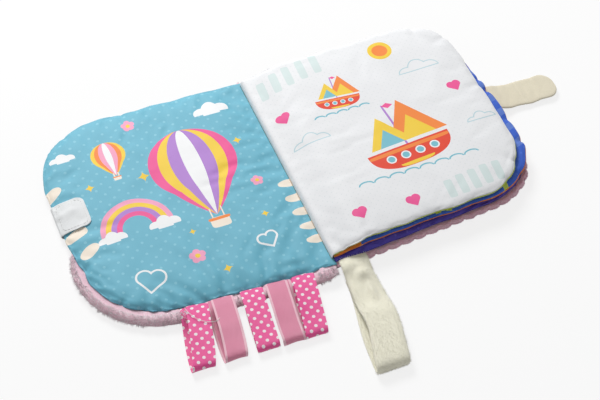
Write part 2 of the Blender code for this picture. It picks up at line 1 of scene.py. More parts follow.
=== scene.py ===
# %% [markdown]
# # A soft crinkle cloth book
# The book lies open at its first page. The left half is the front cover, a dimple-plush pad lined with
# printed polyester. On the right lie two padded leaves and the back cover. Ribbon loops, a fleece strap
# and a fleece closure tab are caught in the seams.
#
# The imported model is the frame: every piece made here takes its place from a solid of it, and most ride on
# one of its bodies. Sizes are written in millimetres and turned to metres where a mesh is made.

import json
import math

import bmesh
import bpy
import numpy as np
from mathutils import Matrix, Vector, geometry, noise
from mathutils.bvhtree import BVHTree


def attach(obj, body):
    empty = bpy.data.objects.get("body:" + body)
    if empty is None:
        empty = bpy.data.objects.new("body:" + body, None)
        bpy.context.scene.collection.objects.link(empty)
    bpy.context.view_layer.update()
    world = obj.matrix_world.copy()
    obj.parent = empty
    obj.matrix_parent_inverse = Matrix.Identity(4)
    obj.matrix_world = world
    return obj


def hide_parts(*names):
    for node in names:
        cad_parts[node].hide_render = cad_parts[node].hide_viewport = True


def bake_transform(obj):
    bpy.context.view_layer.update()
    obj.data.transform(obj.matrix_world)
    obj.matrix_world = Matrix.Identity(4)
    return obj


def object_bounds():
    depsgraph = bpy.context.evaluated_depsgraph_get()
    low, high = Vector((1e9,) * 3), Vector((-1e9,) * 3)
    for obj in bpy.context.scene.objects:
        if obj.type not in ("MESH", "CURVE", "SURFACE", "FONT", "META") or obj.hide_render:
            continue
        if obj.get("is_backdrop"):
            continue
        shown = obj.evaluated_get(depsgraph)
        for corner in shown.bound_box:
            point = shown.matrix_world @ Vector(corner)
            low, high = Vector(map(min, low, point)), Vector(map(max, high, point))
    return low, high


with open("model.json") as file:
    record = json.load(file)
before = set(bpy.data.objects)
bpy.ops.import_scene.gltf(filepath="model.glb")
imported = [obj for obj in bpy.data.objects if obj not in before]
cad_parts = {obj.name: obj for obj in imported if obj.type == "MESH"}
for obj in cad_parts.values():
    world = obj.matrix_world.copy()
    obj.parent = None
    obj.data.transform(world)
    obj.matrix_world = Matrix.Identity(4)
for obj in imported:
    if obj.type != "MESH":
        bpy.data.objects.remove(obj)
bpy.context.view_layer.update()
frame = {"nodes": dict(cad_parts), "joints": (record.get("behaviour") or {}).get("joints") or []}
MM = 0.001
# noise_vector takes its offsets from the clock unless it has a seed
NOISE_SEED = 1
noise.seed_set(NOISE_SEED)
joint_of = {joint["name"]: joint for joint in frame["joints"]}
FOLD = Vector(joint_of["front_cover_fold"]["pos_m"])
print("fold line at", [round(value, 4) for value in FOLD], "nodes", len(frame["nodes"]))

# %% [markdown]
# ## Camera
# The photograph was taken from the reader's side, a little to the left and about fifty degrees above
# the table, with a long lens: the page edges hardly converge. The camera aims at the fold line. Nothing
# is shifted and depth of field stays off.

# %% Camera
AZIMUTH, ELEVATION, DISTANCE, LENS = -22.1, 50.2, 1.1721, 96.0
AIM = Vector((FOLD.x + 0.9 * MM, -24.2 * MM, 0.0))


def make_camera():
    """A perspective camera on a sphere round the aim point."""
    a, e = math.radians(AZIMUTH), math.radians(ELEVATION)
    back = Vector((math.sin(a) * math.cos(e), -math.cos(a) * math.cos(e), math.sin(e)))
    data = bpy.data.cameras.new("camera")
    data.lens, data.sensor_width = LENS, 36.0
    camera = bpy.data.objects.new("camera", data)
    bpy.context.collection.objects.link(camera)
    camera.location = AIM + back * DISTANCE
    camera.rotation_mode = "QUATERNION"
    camera.rotation_quaternion = (-back).to_track_quat("-Z", "Y")
    bpy.context.scene.camera = camera
    return camera


camera = make_camera()
print("camera at", [round(value, 3) for value in camera.location])

# %% [markdown]
# ## Outlines
# Each sheet of the book is a rectangle with a straight side at the fold and two round corners. Its
# outline is read from the solid, as the convex hull of its points seen from above, in book
# coordinates: d is the distance from the fold, whichever cover the sheet is on, and y runs up the
# page. The outline is smoothed, because the solid's corners have few facets.

# %% Outline of a sheet
CORNER_SMOOTHING = 20


def even(points, count):
    """The same path with evenly spaced points."""
    lengths = np.r_[0, np.cumsum(np.linalg.norm(np.diff(points, axis=0), axis=1))]
    stops = np.linspace(0, lengths[-1], count + 1)
    return np.stack([np.interp(stops, lengths, points[:, k]) for k in range(points.shape[1])], 1)


def outline_of(node, side):
    """(d, y) in mm of a sheet's free edges, from the lower end of the fold to the upper one."""
    mesh = frame["nodes"][node].data
    flat = [(side * (v.co.x - FOLD.x) / MM, v.co.y / MM) for v in mesh.vertices]
    hull = np.array([flat[k] for k in geometry.convex_hull_2d([Vector(p) for p in flat])])
    area = np.sum(hull[:, 0] * np.roll(hull[:, 1], -1) - np.roll(hull[:, 0], -1) * hull[:, 1])
    if area < 0:
        hull = hull[::-1]
    root = hull[:, 0] < hull[:, 0].min() + 1.0
    lower = int(np.argmin(np.where(root, hull[:, 1], 1e9)))
    hull = np.roll(hull, -lower, axis=0)
    root = np.roll(root, -lower)
    upper = int(np.argmax(np.where(root, hull[:, 1], -1e9)))
    free = even(hull[: upper + 1], int(np.linalg.norm(np.diff(hull[: upper + 1], axis=0), axis=1).sum()))
    smooth = free.copy()
    for _ in range(CORNER_SMOOTHING):
        smooth[1:-1] = (smooth[:-2] + smooth[1:-1] * 2 + smooth[2:]) / 4
    return smooth


SHEETS = {
    "front_cover_lining": ("front_cover_lining", -1),
    "front_cover_plush": ("front_cover_plush", -1),
    "back_cover_lining": ("back_cover_lining", 1),
    "back_cover_plush": ("back_cover_plush", 1),
    "leaf_a": ("leaf_a_front_cloth", 1),
    "leaf_b": ("leaf_b_front_cloth", 1),
}
outlines = {name: outline_of(node, side) for name, (node, side) in SHEETS.items()}
print({name: len(line) for name, line in outlines.items()})

# %% [markdown]
# ## Grids that fill an outline
# A sheet needs an even mesh of squares, so that cloth can fold anywhere and a print can follow it. The
# outline is cut in the middle of its two corners, and a Coons patch fills the four runs: straight rules
# between opposite runs, less the part that both count. The rows beside a seam stand closer together,
# because the cloth turns over there. Heights come from the solid, by casting rays at it.

# %% Grid of a sheet
EDGE_CELLS = (0.6, 1.0, 1.6, 2.3)


def spaced(points, shares):
    """The same path with points at these shares of its length."""
    lengths = np.r_[0, np.cumsum(np.linalg.norm(np.diff(points, axis=0), axis=1))]
    stops = np.asarray(shares) * lengths[-1]
    return np.stack([np.interp(stops, lengths, points[:, k]) for k in range(points.shape[1])], 1)


def row_shares(length, count, both_ends):
    """Shares of a run at which grid lines stand: even ones, and closer ones beside the seam."""
    fine = list(EDGE_CELLS)
    start = fine if both_ends else []
    middle = [(length - sum(fine) - sum(start)) / count] * count
    return np.r_[0, np.cumsum(start + middle + fine[::-1])] / length


def coons(line, across, along):
    """Rows of (d, y) points from an outline's lower run to its upper one, at shares across and along."""
    low_cut = int(np.argmax(line[:, 0] - line[:, 1]))
    high_cut = int(np.argmax(line[:, 0] + line[:, 1]))
    lower = spaced(line[: low_cut + 1], across)
    fore = spaced(line[low_cut : high_cut + 1], along)
    upper = spaced(line[high_cut:][::-1], across)
    u, v = across[None, :, None], along[:, None, None]
    root = lower[0] + (upper[0] - lower[0]) * v
    ruled = (1 - v) * lower[None] + v * upper[None] + (1 - u) * root + u * fore[:, None]
    corners = (1 - u) * (1 - v) * lower[0] + u * (1 - v) * lower[-1]
    corners = corners + (1 - u) * v * upper[0] + u * v * upper[-1]
    return ruled - corners


def sheet_grid(name, across, along):
    """The (d, y) grid of a named sheet with that many even cells."""
    line = outlines[name]
    return coons(
        line,
        row_shares(line[:, 0].max(), across, False),
        row_shares(np.ptp(line[:, 1]), along, True),
    )


def edge_distance(flat, line):
    """How far each grid point is from the free edge, in mm."""
    points = flat.reshape(-1, 2)
    starts, ends = line[:-1], line[1:]
    step = ends - starts
    least = np.full(len(points), np.inf)
    for start, way in zip(starts, step):
        gap = points - start
        share = np.clip(gap @ way / (way @ way), 0, 1)
        least = np.minimum(least, np.linalg.norm(gap - share[:, None] * way, axis=1))
    return least.reshape(flat.shape[:2])


def solid_height(node, side, flat, from_above=True):
    """Height in mm of a solid's upper or lower face over each (d, y)."""
    mesh = frame["nodes"][node].data
    tree = BVHTree.FromPolygons([v.co for v in mesh.vertices], [p.vertices for p in mesh.polygons])
    start = 1.0 if from_above else -1.0
    heights = np.empty(flat.shape[:2])
    for index in np.ndindex(*flat.shape[:2]):
        d, y = flat[index] * MM
        place = Vector((FOLD.x + side * d, y, start))
        hit = tree.ray_cast(place, Vector((0, 0, -start)))[0]
        if hit is None:
            hit = tree.find_nearest(Vector((place.x, y, 0.0)))[0]
        heights[index] = hit.z / MM
    return heights


def smoothed(field, rounds):
    """A grid of heights with its inner points averaged with their neighbours."""
    field = field.copy()
    for _ in range(rounds):
        inner = field[:-2, 1:-1] + field[2:, 1:-1] + field[1:-1, :-2] + field[1:-1, 2:]
        field[1:-1, 1:-1] = (field[1:-1, 1:-1] + inner / 4) / 2
    return field


def to_world(side, flat, heights):
    """Points in metres, in the row frame, from (d, y) and height in mm."""
    return np.stack([FOLD.x + side * flat[..., 0] * MM, flat[..., 1] * MM, heights * MM], -1)


ACROSS, ALONG = 42, 46
grids = {name: sheet_grid(name, ACROSS, ALONG) for name in outlines if "plush" not in name}
for name, grid in grids.items():
    print(name, "grid", grid.shape[:2], "even cell", round(float(np.ptp(grid[:, :, 0]) / ACROSS), 2), "mm")

# %% [markdown]
# ## Small mesh helpers
# Every piece is made from points in metres and faces, and its object stays at the origin, as the packed
# solids do. A piece that carries a print gets a UV map called flat, in metres on the cut cloth, so the
# print turns and bends with it.

# %% Mesh helpers
def new_piece(name, points, faces, material, uv=None):
    """A smooth shaded mesh object at the origin; uv holds one (u, v) in metres for each point."""
    mesh = bpy.data.meshes.new(name)
    mesh.from_pydata([tuple(p) for p in points], [], [tuple(int(k) for k in f) for f in faces])
    if uv is not None:
        layer = mesh.uv_layers.new(name="flat")
        loops = np.empty(len(mesh.loops), dtype=np.int32)
        mesh.loops.foreach_get("vertex_index", loops)
        layer.data.foreach_set("uv", np.asarray(uv, dtype=np.float32)[loops].ravel())
    mesh.polygons.foreach_set("use_smooth", [True] * len(mesh.polygons))
    mesh.materials.append(material)
    obj = bpy.data.objects.new(name, mesh)
    bpy.context.collection.objects.link(obj)
    return obj


def grid_faces(index, flip):
    """One face for each cell of a grid of point numbers, turned over if flip is true."""
    quads = np.stack([index[:-1, :-1], index[:-1, 1:], index[1:, 1:], index[1:, :-1]], -1)
    quads = quads.reshape(-1, 4)
    return quads[:, ::-1] if flip else quads


def thicken(obj, thickness):
    """Gives a sheet its thickness in mm, on the side away from its faces, and rounds it."""
    wall = obj.modifiers.new("thickness", "SOLIDIFY")
    wall.thickness, wall.offset, wall.use_rim = thickness * MM, -1.0, True
    soften(obj)


def soften(obj):
    """One level of subdivision, the same in the view and in the render."""
    rounder = obj.modifiers.new("soften", "SUBSURF")
    rounder.levels = rounder.render_levels = 1


def shade_of(code):
    """A linear RGBA colour from an sRGB hex code."""
    parts = [int(code[k : k + 2], 16) / 255 for k in (1, 3, 5)]
    return [p / 12.92 if p <= 0.04045 else ((p + 0.055) / 1.055) ** 2.4 for p in parts] + [1.0]


def add(tree, kind, inputs=None, **settings):
    """Adds a node, sets its properties, and sets or links its inputs."""
    node = tree.nodes.new(kind)
    for name, value in settings.items():
        setattr(node, name, value)
    for key, value in (inputs or {}).items():
        if isinstance(value, bpy.types.NodeSocket):
            tree.links.new(value, node.inputs[key])
        else:
            node.inputs[key].default_value = value
    return node


print("helpers ready")

# %% [markdown]
# ## Printed cloth: one shape as a node group
# The pages are polyester printed with flat, hard-edged colours, as screen or transfer prints are. Every
# motif is built from a few simple shapes, so one node group draws one shape over the colour below it:
# a superellipse with its own centre, half sizes, turn and exponent. Exponent 2 is an ellipse, 1 a
# diamond, 6 a rounded bar and 0.6 a four-pointed sparkle. The cut keeps only what lies above a local
# height, so half a diamond is a sail and half an ellipse a cloud's flat base.

# %% Node group: a printed shape
def shape_group():
    """Node group that paints one superellipse over the colour below it. Lengths are in mm."""
    tree = bpy.data.node_groups.new("printed shape", "ShaderNodeTree")
    sockets = (
        ("Below", "NodeSocketColor"),
        ("Colour", "NodeSocketColor"),
        ("Place", "NodeSocketVector"),
        ("Centre", "NodeSocketVector"),
        ("Half size", "NodeSocketVector"),
        ("Turn", "NodeSocketFloat"),
        ("Exponent", "NodeSocketFloat"),
        ("Cut", "NodeSocketFloat"),
    )
    for name, kind in sockets:
        tree.interface.new_socket(name, in_out="INPUT", socket_type=kind)
    tree.interface.new_socket("Result", in_out="OUTPUT", socket_type="NodeSocketColor")
    given = add(tree, "NodeGroupInput").outputs
    moved = add(tree, "ShaderNodeVectorMath", {0: given["Place"], 1: given["Centre"]}, operation="SUBTRACT")
    turned = add(
        tree,
        "ShaderNodeVectorRotate",
        {"Vector": moved.outputs[0], "Angle": given["Turn"]},
        rotation_type="Z_AXIS",
        invert=True,
    )
    scaled = add(
        tree, "ShaderNodeVectorMath", {0: turned.outputs[0], 1: given["Half size"]}, operation="DIVIDE"
    )
    size = add(tree, "ShaderNodeVectorMath", {0: scaled.outputs[0]}, operation="ABSOLUTE")
    powers = []
    for axis in ((1, 0, 0), (0, 1, 0)):
        part = add(tree, "ShaderNodeVectorMath", {0: size.outputs[0], 1: axis}, operation="DOT_PRODUCT")
        powers.append(
            add(
                tree, "ShaderNodeMath", {0: part.outputs["Value"], 1: given["Exponent"]}, operation="POWER"
            ).outputs[0]
        )
    total = add(tree, "ShaderNodeMath", {0: powers[0], 1: powers[1]}, operation="ADD")
    inside = add(tree, "ShaderNodeMath", {0: total.outputs[0], 1: 1.0}, operation="LESS_THAN")
    up = add(tree, "ShaderNodeVectorMath", {0: scaled.outputs[0], 1: (0, 1, 0)}, operation="DOT_PRODUCT")
    above = add(tree, "ShaderNodeMath", {0: up.outputs["Value"], 1: given["Cut"]}, operation="GREATER_THAN")
    both = add(tree, "ShaderNodeMath", {0: inside.outputs[0], 1: above.outputs[0]}, operation="MULTIPLY")
    paint = add(
        tree,
        "ShaderNodeMix",
        {"Factor": both.outputs[0], "A": given["Below"], "B": given["Colour"]},
        data_type="RGBA",
    )
    add(tree, "NodeGroupOutput", {0: paint.outputs["Result"]})
    return tree


def dots_group():
    """Node group that paints a staggered grid of round dots. Pitch and radius are in mm."""
    tree = bpy.data.node_groups.new("staggered dots", "ShaderNodeTree")
    sockets = (
        ("Below", "NodeSocketColor"),
        ("Colour", "NodeSocketColor"),
        ("Place", "NodeSocketVector"),
        ("Pitch", "NodeSocketFloat"),
        ("Radius", "NodeSocketFloat"),
    )
    for name, kind in sockets:
        tree.interface.new_socket(name, in_out="INPUT", socket_type=kind)
    tree.interface.new_socket("Result", in_out="OUTPUT", socket_type="NodeSocketColor")
    given = add(tree, "NodeGroupInput").outputs
    share = add(tree, "ShaderNodeMath", {0: 1.0, 1: given["Pitch"]}, operation="DIVIDE")
    cells = add(
        tree, "ShaderNodeVectorMath", {0: given["Place"], "Scale": share.outputs[0]}, operation="SCALE"
    )
    gaps = []
    for shift in (0.0, 0.5):
        moved = add(
            tree, "ShaderNodeVectorMath", {0: cells.outputs[0], 1: (shift, shift, 0)}, operation="ADD"
        )
        part = add(tree, "ShaderNodeVectorMath", {0: moved.outputs[0]}, operation="FRACTION")
        middle = add(
            tree, "ShaderNodeVectorMath", {0: part.outputs[0], 1: (0.5, 0.5, 0)}, operation="SUBTRACT"
        )
        gaps.append(
            add(tree, "ShaderNodeVectorMath", {0: middle.outputs[0]}, operation="LENGTH").outputs["Value"]
        )
    nearest = add(tree, "ShaderNodeMath", {0: gaps[0], 1: gaps[1]}, operation="MINIMUM")
    real = add(tree, "ShaderNodeMath", {0: nearest.outputs[0], 1: given["Pitch"]}, operation="MULTIPLY")
    inside = add(tree, "ShaderNodeMath", {0: real.outputs[0], 1: given["Radius"]}, operation="LESS_THAN")
    paint = add(
        tree,
        "ShaderNodeMix",
        {"Factor": inside.outputs[0], "A": given["Below"], "B": given["Colour"]},
        data_type="RGBA",
    )
    add(tree, "NodeGroupOutput", {0: paint.outputs["Result"]})
    return tree


SHAPE, DOTS = shape_group(), dots_group()
print("node groups", SHAPE.name, len(SHAPE.nodes), DOTS.name, len(DOTS.nodes))

# %% [markdown]
# ## Printed cloth: the material
# The cloth is a tight plain weave of about 0.3 mm thread spacing, too fine for the picture, so its weave
# is drawn at 1.1 mm and very shallow. Polyester has a soft low gloss and a little sheen at grazing
# angles. A slow noise varies the colour by a few hundredths, as ink does on cloth.

# %% Material: printed polyester
def new_material(name):
    """An empty node material with its tree and output."""
    material = bpy.data.materials.new(name)
    material.use_nodes = True
    material.node_tree.nodes.clear()
    return material, material.node_tree


def finish_material(tree, colour, height, depth, **constants):
    """Shader and output: a linked colour, a bump of that depth in mm, and constants on the shader."""
    bump = add(tree, "ShaderNodeBump", {"Height": height, "Distance": depth * MM, "Strength": 1.0})
    shader = add(tree, "ShaderNodeBsdfPrincipled", {"Base Color": colour, "Normal": bump.outputs[0]})
    for key, value in constants.items():
        shader.inputs[key.replace("_", " ")].default_value = value
    add(tree, "ShaderNodeOutputMaterial", {"Surface": shader.outputs[0]})
    return shader


def varied(tree, place, colour, scale, low, high):
    """The colour with its brightness varied between two factors by a noise of that scale per metre."""
    cloud = add(tree, "ShaderNodeTexNoise", {"Vector": place, "Scale": scale, "Detail": 3.0})
    factor = add(tree, "ShaderNodeMapRange", {"Value": cloud.outputs[0], "To Min": low, "To Max": high})
    grey = add(tree, "ShaderNodeCombineColor", {k: factor.outputs[0] for k in ("Red", "Green", "Blue")})
    mixed = add(
        tree,
        "ShaderNodeMix",
        {"Factor": 1.0, "A": colour, "B": grey.outputs[0]},
        data_type="RGBA",
        blend_type="MULTIPLY",
    )
    return mixed.outputs["Result"]


def weave(tree, place, pitch):
    """Height of a plain weave: two sets of threads that cross, at a pitch in mm."""
    heights = []
    for direction in ("X", "Y"):
        wave = add(
            tree,
            "ShaderNodeTexWave",
            {"Vector": place, "Scale": 1 / (2 * pitch * MM), "Distortion": 0.6, "Detail": 1.0},
            bands_direction=direction,
        )
        heights.append(wave.outputs[1])
    return add(tree, "ShaderNodeMath", {0: heights[0], 1: heights[1]}, operation="MAXIMUM").outputs[0]


def printed_polyester(name, ground, rows, dots=()):
    """Cloth with a ground colour, sets of dots (colour, pitch, radius) and rows of printed shapes."""
    material, tree = new_material(name)
    place = add(tree, "ShaderNodeUVMap", uv_map="flat").outputs[0]
    in_mm = add(tree, "ShaderNodeVectorMath", {0: place, "Scale": 1 / MM}, operation="SCALE").outputs[0]
    colour = add(tree, "ShaderNodeRGB").outputs[0]
    colour.default_value = shade_of(ground)
    for code, pitch, radius in dots:
        values = {"Below": colour, "Colour": shade_of(code), "Place": in_mm, "Pitch": pitch, "Radius": radius}
        colour = add(tree, "ShaderNodeGroup", values, node_tree=DOTS).outputs[0]
    for code, x, y, half_width, half_height, turn, exponent, cut in rows:
        values = {
            "Below": colour,
            "Colour": shade_of(code),
            "Place": in_mm,
            "Centre": (x, y, 0),
            "Half size": (half_width, half_height, 1),
            "Turn": math.radians(turn),
            "Exponent": exponent,
            "Cut": cut,
        }
        colour = add(tree, "ShaderNodeGroup", values, node_tree=SHAPE).outputs[0]
    colour = varied(tree, place, colour, 25.0, 0.95, 1.04)
    finish_material(
        tree, colour, weave(tree, place, 1.1), 0.03, Roughness=0.62, Sheen_Weight=0.12, Sheen_Roughness=0.4
    )
    return material


print("printed polyester ready")

# %% [markdown]
# ## The prints
# Each page has its own table of shapes, in mm on the cut cloth: colour, centre, half sizes, turn in
# degrees, exponent and cut. The motifs are plain nursery ones: a hot-air balloon, sailing boats, clouds,
# hearts, flowers and stars, in flat candy colours. Small functions write the shapes of a motif that
# appears more than once.

# %% Motifs
NO_CUT = -2.0
TEAL, WHITE, CREAM, PALE_TEAL = "#66b0c6", "#eff0f1", "#f0e4d4", "#d2e0df"
PINK, MAGENTA, YELLOW, VIOLET = "#ee9ebd", "#ea4f93", "#efca33", "#ad7ccb"
RED, ORANGE, AQUA = "#dd3a1a", "#ee8330", "#72b9c9"
PURPLE, LIME, DEEP_ORANGE, NAVY = "#4c3fae", "#bfd052", "#dc7a1c", "#2b3f9c"
CLOUD_LINE = "#b9d3da"


def cloud(x, y, size, colour, cut=0.0):
    """Three round puffs on a flat base."""
    puffs = ((-0.55, 0.0, 0.42, 0.36), (0.0, 0.0, 0.5, 0.68), (0.55, 0.0, 0.45, 0.42))
    return [(colour, x + a * size, y + b * size, w * size, h * size, 0, 2, cut) for a, b, w, h in puffs]


def outlined_cloud(x, y, size, line, inside, width=0.9):
    """A cloud drawn as a line: a larger cloud, and one in the ground colour on top."""
    outer = cloud(x, y, size, line)
    inner = [
        (inside, a, b, w - width, h - width, 0, 2, width / (h - width)) for _, a, b, w, h, _, _, _ in outer
    ]
    return outer + inner


def heart(x, y, size, colour, turn=0.0, inside=0.0):
    """A square on its corner with two round lobes; inside makes it that much smaller all round, in mm."""
    c, s = math.cos(math.radians(turn)), math.sin(math.radians(turn))
    half = 0.85 * size
    rows = [(colour, x, y, half - 1.41 * inside, half - 1.41 * inside, turn, 1.0, NO_CUT)]
    for side in (-1, 1):
        place = (x + half / 2 * (side * c - s), y + half / 2 * (side * s + c))
        rows.append((colour, *place, 0.71 * half - inside, 0.71 * half - inside, 0, 2, NO_CUT))
    return rows


def flower(x, y, size, petals, middle):
    """Five round petals and a middle."""
    rows = []
    for k in range(5):
        angle = math.radians(90 + 72 * k)
        place = (x + size * 0.55 * math.cos(angle), y + size * 0.55 * math.sin(angle))
        rows.append((petals, *place, size * 0.42, size * 0.42, 0, 2, NO_CUT))
    return rows + [(middle, x, y, size * 0.3, size * 0.3, 0, 2, NO_CUT)]


def balloon(x, y, size, colours, basket):
    """A balloon of nested gores that narrow to a basket on two ropes."""
    rows = []
    for colour, width in zip(colours, (1.0, 0.76, 0.5, 0.2)):
        rows.append((colour, x, y, size * width, size * 1.02, 0, 2, NO_CUT))
        rows.append((colour, x, y - size * 0.62, size * 0.74 * width, size * 1.0, 0, 1.15, NO_CUT))
    for side in (-1, 1):
        rows.append((basket, x + side * size * 0.13, y - size * 1.58, 0.5, size * 0.16, 0, 6, NO_CUT))
    rows.append((basket, x, y - size * 1.84, size * 0.22, size * 0.15, 0, 5, NO_CUT))
    rows.append((ORANGE, x, y - size * 1.74, size * 0.25, size * 0.04, 0, 5, NO_CUT))
    return rows


def boat(x, y, size, lean=0.0):
    """A round hull with portholes, a mast and two sails; y is the height of the deck."""
    c, s = math.cos(math.radians(lean)), math.sin(math.radians(lean))

    def at(colour, a, b, w, h, turn=0.0, exponent=2.0, cut=NO_CUT):
        place = (x + (a * c - b * s) * size, y + (a * s + b * c) * size)
        return (colour, *place, w * size, h * size, lean + turn, exponent, cut)

    rows = [
        at(VIOLET, 0.0, 0.42, 0.018, 0.5, 0, 6),
        at(ORANGE, 0.27, 0.07, 0.5, 0.86, 0, 1.0, 0.0),
        at(YELLOW, 0.27, 0.07, 0.3, 0.5, 0, 1.0, 0.0),
        at(YELLOW, -0.22, 0.07, 0.38, 0.64, 0, 1.0, 0.0),
        at(AQUA, -0.22, 0.07, 0.22, 0.36, 0, 1.0, 0.0),
        at(MAGENTA, 0.09, 0.88, 0.1, 0.06, -8, 1.0),
        at(RED, 0.0, 0.0, 0.72, 0.44, 180, 2.6, 0.0),
        at(ORANGE, 0.0, -0.07, 0.71, 0.035, 0, 8),
        at(YELLOW, 0.0, -0.36, 0.3, 0.07, 180, 2.6, 0.0),
    ]
    for k in range(4):
        rows.append(at(WHITE, -0.39 + 0.26 * k, -0.2, 0.082, 0.082))
        rows.append(at(AQUA, -0.39 + 0.26 * k, -0.2, 0.058, 0.058))
    return rows


def waves(x, y, count, step, colour, inside):
    """A row of low arcs, as water is drawn."""
    rows = []
    for k in range(count):
        rows.append((colour, x + step * k, y, step * 0.5, step * 0.3, 0, 2, 0.0))
        rows.append((inside, x + step * k, y - 0.2, step * 0.5 - 1.1, step * 0.3 - 1.1, 0, 2, 0.0))
    return rows


print("a boat takes", len(boat(0, 0, 1)), "shapes")

# %% [markdown]
# ### The teal page
# One large balloon takes the middle, with clouds, a rainbow, hearts and sparkles round it. Cream oval
# stitches are printed along both sides, and the ground is sprinkled with pale dots.

# %% Print of the teal page
teal_rows = []
for x, y, turn in ((-166, 41, 38), (-161, -1, 22), (-157, -19, 32)):
    teal_rows.append((CREAM, x, y, 8.5, 4.4, turn, 2.3, NO_CUT))
for y in (-12.5, -27, -41, -55, -68):
    teal_rows.append((CREAM, -1.5, y, 10.0, 3.6, -4, 2.3, NO_CUT))
for radius, colour in ((27, PINK), (23, YELLOW), (19, VIOLET), (15, MAGENTA), (11, TEAL)):
    teal_rows.append((colour, -119, -12, radius, radius, 0, 2, 0.0))
teal_rows += cloud(-139, -16, 11, WHITE, -0.4) + cloud(-100, -16, 12, WHITE, -0.4)
teal_rows += balloon(-62, 32, 33, (MAGENTA, YELLOW, VIOLET, WHITE), CREAM)
teal_rows += balloon(-118, 62, 13, (YELLOW, ORANGE, PINK, WHITE), CREAM)
teal_rows += cloud(-32, 76, 14, WHITE, -0.4) + cloud(-150, 70, 9, WHITE, -0.4)
for x, y, size, turn in ((-126, -62, 11, -18), (-36, -58, 8, 10)):
    teal_rows += heart(x, y, size, WHITE, turn) + heart(x, y, size, TEAL, turn, 1.5)
for x, y, size in ((-88, -52, 6.5), (-24, -2, 5.0), (-95, 85, 5.5)):
    teal_rows += flower(x, y, size, PINK, YELLOW)
for x, y, size in ((-100, 32, 5), (-24, 40, 4), (-140, 36, 4), (-72, -70, 4), (-30, -34, 3.5), (-84, -30, 3)):
    teal_rows.append((YELLOW, x, y, size, size, 0, 0.6, NO_CUT))
teal_print = printed_polyester("printed polyester, teal page", TEAL, teal_rows, [("#7dbfd2", 10.5, 1.1)])
print("teal page has", len(teal_rows), "printed shapes")

# %% [markdown]
# ### The white page
# A large sailing boat low on the page and a small one above it, in red, orange and yellow, with
# outlined clouds, waves and two groups of pale stripes at the edges. Fine grey specks cover the ground.

# %% Print of the white page
WHITE_PAGE = "#e8e9eb"
# The first row is a tan line where the white page turns down into the fold: painted shade of the fold, in a
# yellowish tone.
white_rows = [("#cfa65f", -1.9, 0, 0.5, 120, 0, 8, NO_CUT)]
for k, (x, y, length) in enumerate(((10, 74, 9), (21, 76, 10), (32, 78, 10), (44, 80, 10), (56, 82, 10))):
    white_rows.append((PALE_TEAL, x, y, 3.1, length, -3, 7, NO_CUT))
for x, y, length in ((99, -71, 8), (109, -70, 9), (119, -69, 9), (129, -68, 9), (139, -68, 9)):
    white_rows.append((PALE_TEAL, x, y, 3.1, length, -3, 7, NO_CUT))
white_rows += outlined_cloud(
    128, 46, 17, CLOUD_LINE, WHITE_PAGE
) + outlined_cloud(24, 8, 15, CLOUD_LINE, WHITE_PAGE)
white_rows += outlined_cloud(150, -18, 12, CLOUD_LINE, WHITE_PAGE)
white_rows.append((YELLOW, 108, 76, 9.5, 9.5, 0, 2, NO_CUT))
white_rows.append((ORANGE, 108, 76, 6.2, 6.2, 0, 2, NO_CUT))
white_rows += waves(44, -46, 8, 12.0, AQUA, WHITE_PAGE)
white_rows += boat(88, -20, 46, 4)
white_rows += waves(38, 27, 5, 9.0, AQUA, WHITE_PAGE)
white_rows += boat(58, 42, 24, -6)
for x, y in ((14, 40), (30, -68), (146, 20), (70, -72)):
    white_rows += heart(x, y, 5.5, MAGENTA, 8)
white_print = printed_polyester(
    "printed polyester, white page", WHITE_PAGE, white_rows, [("#dfe2e4", 5.4, 0.5)]
)
print("white page has", len(white_rows), "printed shapes")

# %% [markdown]
# ### The pages behind
# The other sides show when the leaves turn. The blue page has fish and bubbles with two lighter bars at
# its fore-edge, the lime page flowers, the orange page suns and dots, and the purple one stars and a moon.

# %% Prints of the pages behind
SEA, SEA_LIGHT = "#2c5cc8", "#5578cc"
blue_rows = [(SEA_LIGHT, 168, y, 12, 3.2, 24, 6, NO_CUT) for y in (52, 36, 20, 4, -12, -28, -44)]
for x, y, size, colour, fin in (
    (62, 22, 24, ORANGE, YELLOW), (112, -36, 17, MAGENTA, PINK), (44, -50, 14, LIME, AQUA)
):
    blue_rows.append((fin, x + size, y, size * 0.5, size * 0.6, 0, 1.0, NO_CUT))
    blue_rows.append((colour, x, y, size, size * 0.62, 0, 2.1, NO_CUT))
    blue_rows += [(fin, x + a * size, y, size * 0.1, size * 0.5, 0, 2, NO_CUT) for a in (-0.1, 0.25)]
    blue_rows.append((WHITE, x - size * 0.55, y + size * 0.12, size * 0.14, size * 0.14, 0, 2, NO_CUT))
    blue_rows.append((NAVY, x - size * 0.57, y + size * 0.12, size * 0.07, size * 0.07, 0, 2, NO_CUT))
for x, y, size in (
    (24, 40, 5), (32, 56, 3.5), (22, 66, 2.5), (90, 70, 6), (100, 58, 3.5), (140, 10, 5), (132, 24, 3)
):
    blue_rows.append((WHITE, x, y, size, size, 0, 2, NO_CUT))
    blue_rows.append((SEA, x, y, size - 0.9, size - 0.9, 0, 2, NO_CUT))
blue_rows += [
    (LIME, x, -84, 2.2, 16, t, 2.4, 0.0) for x, t in ((20, 8), (28, -6), (84, 5), (92, -8), (140, 3))
]
blue_rows.append((DEEP_ORANGE, 9, -86, 13, 9, 0, 2.4, NO_CUT))
blue_print = printed_polyester("printed polyester, blue page", SEA, blue_rows, [("#3f6cd2", 10.0, 1.0)])

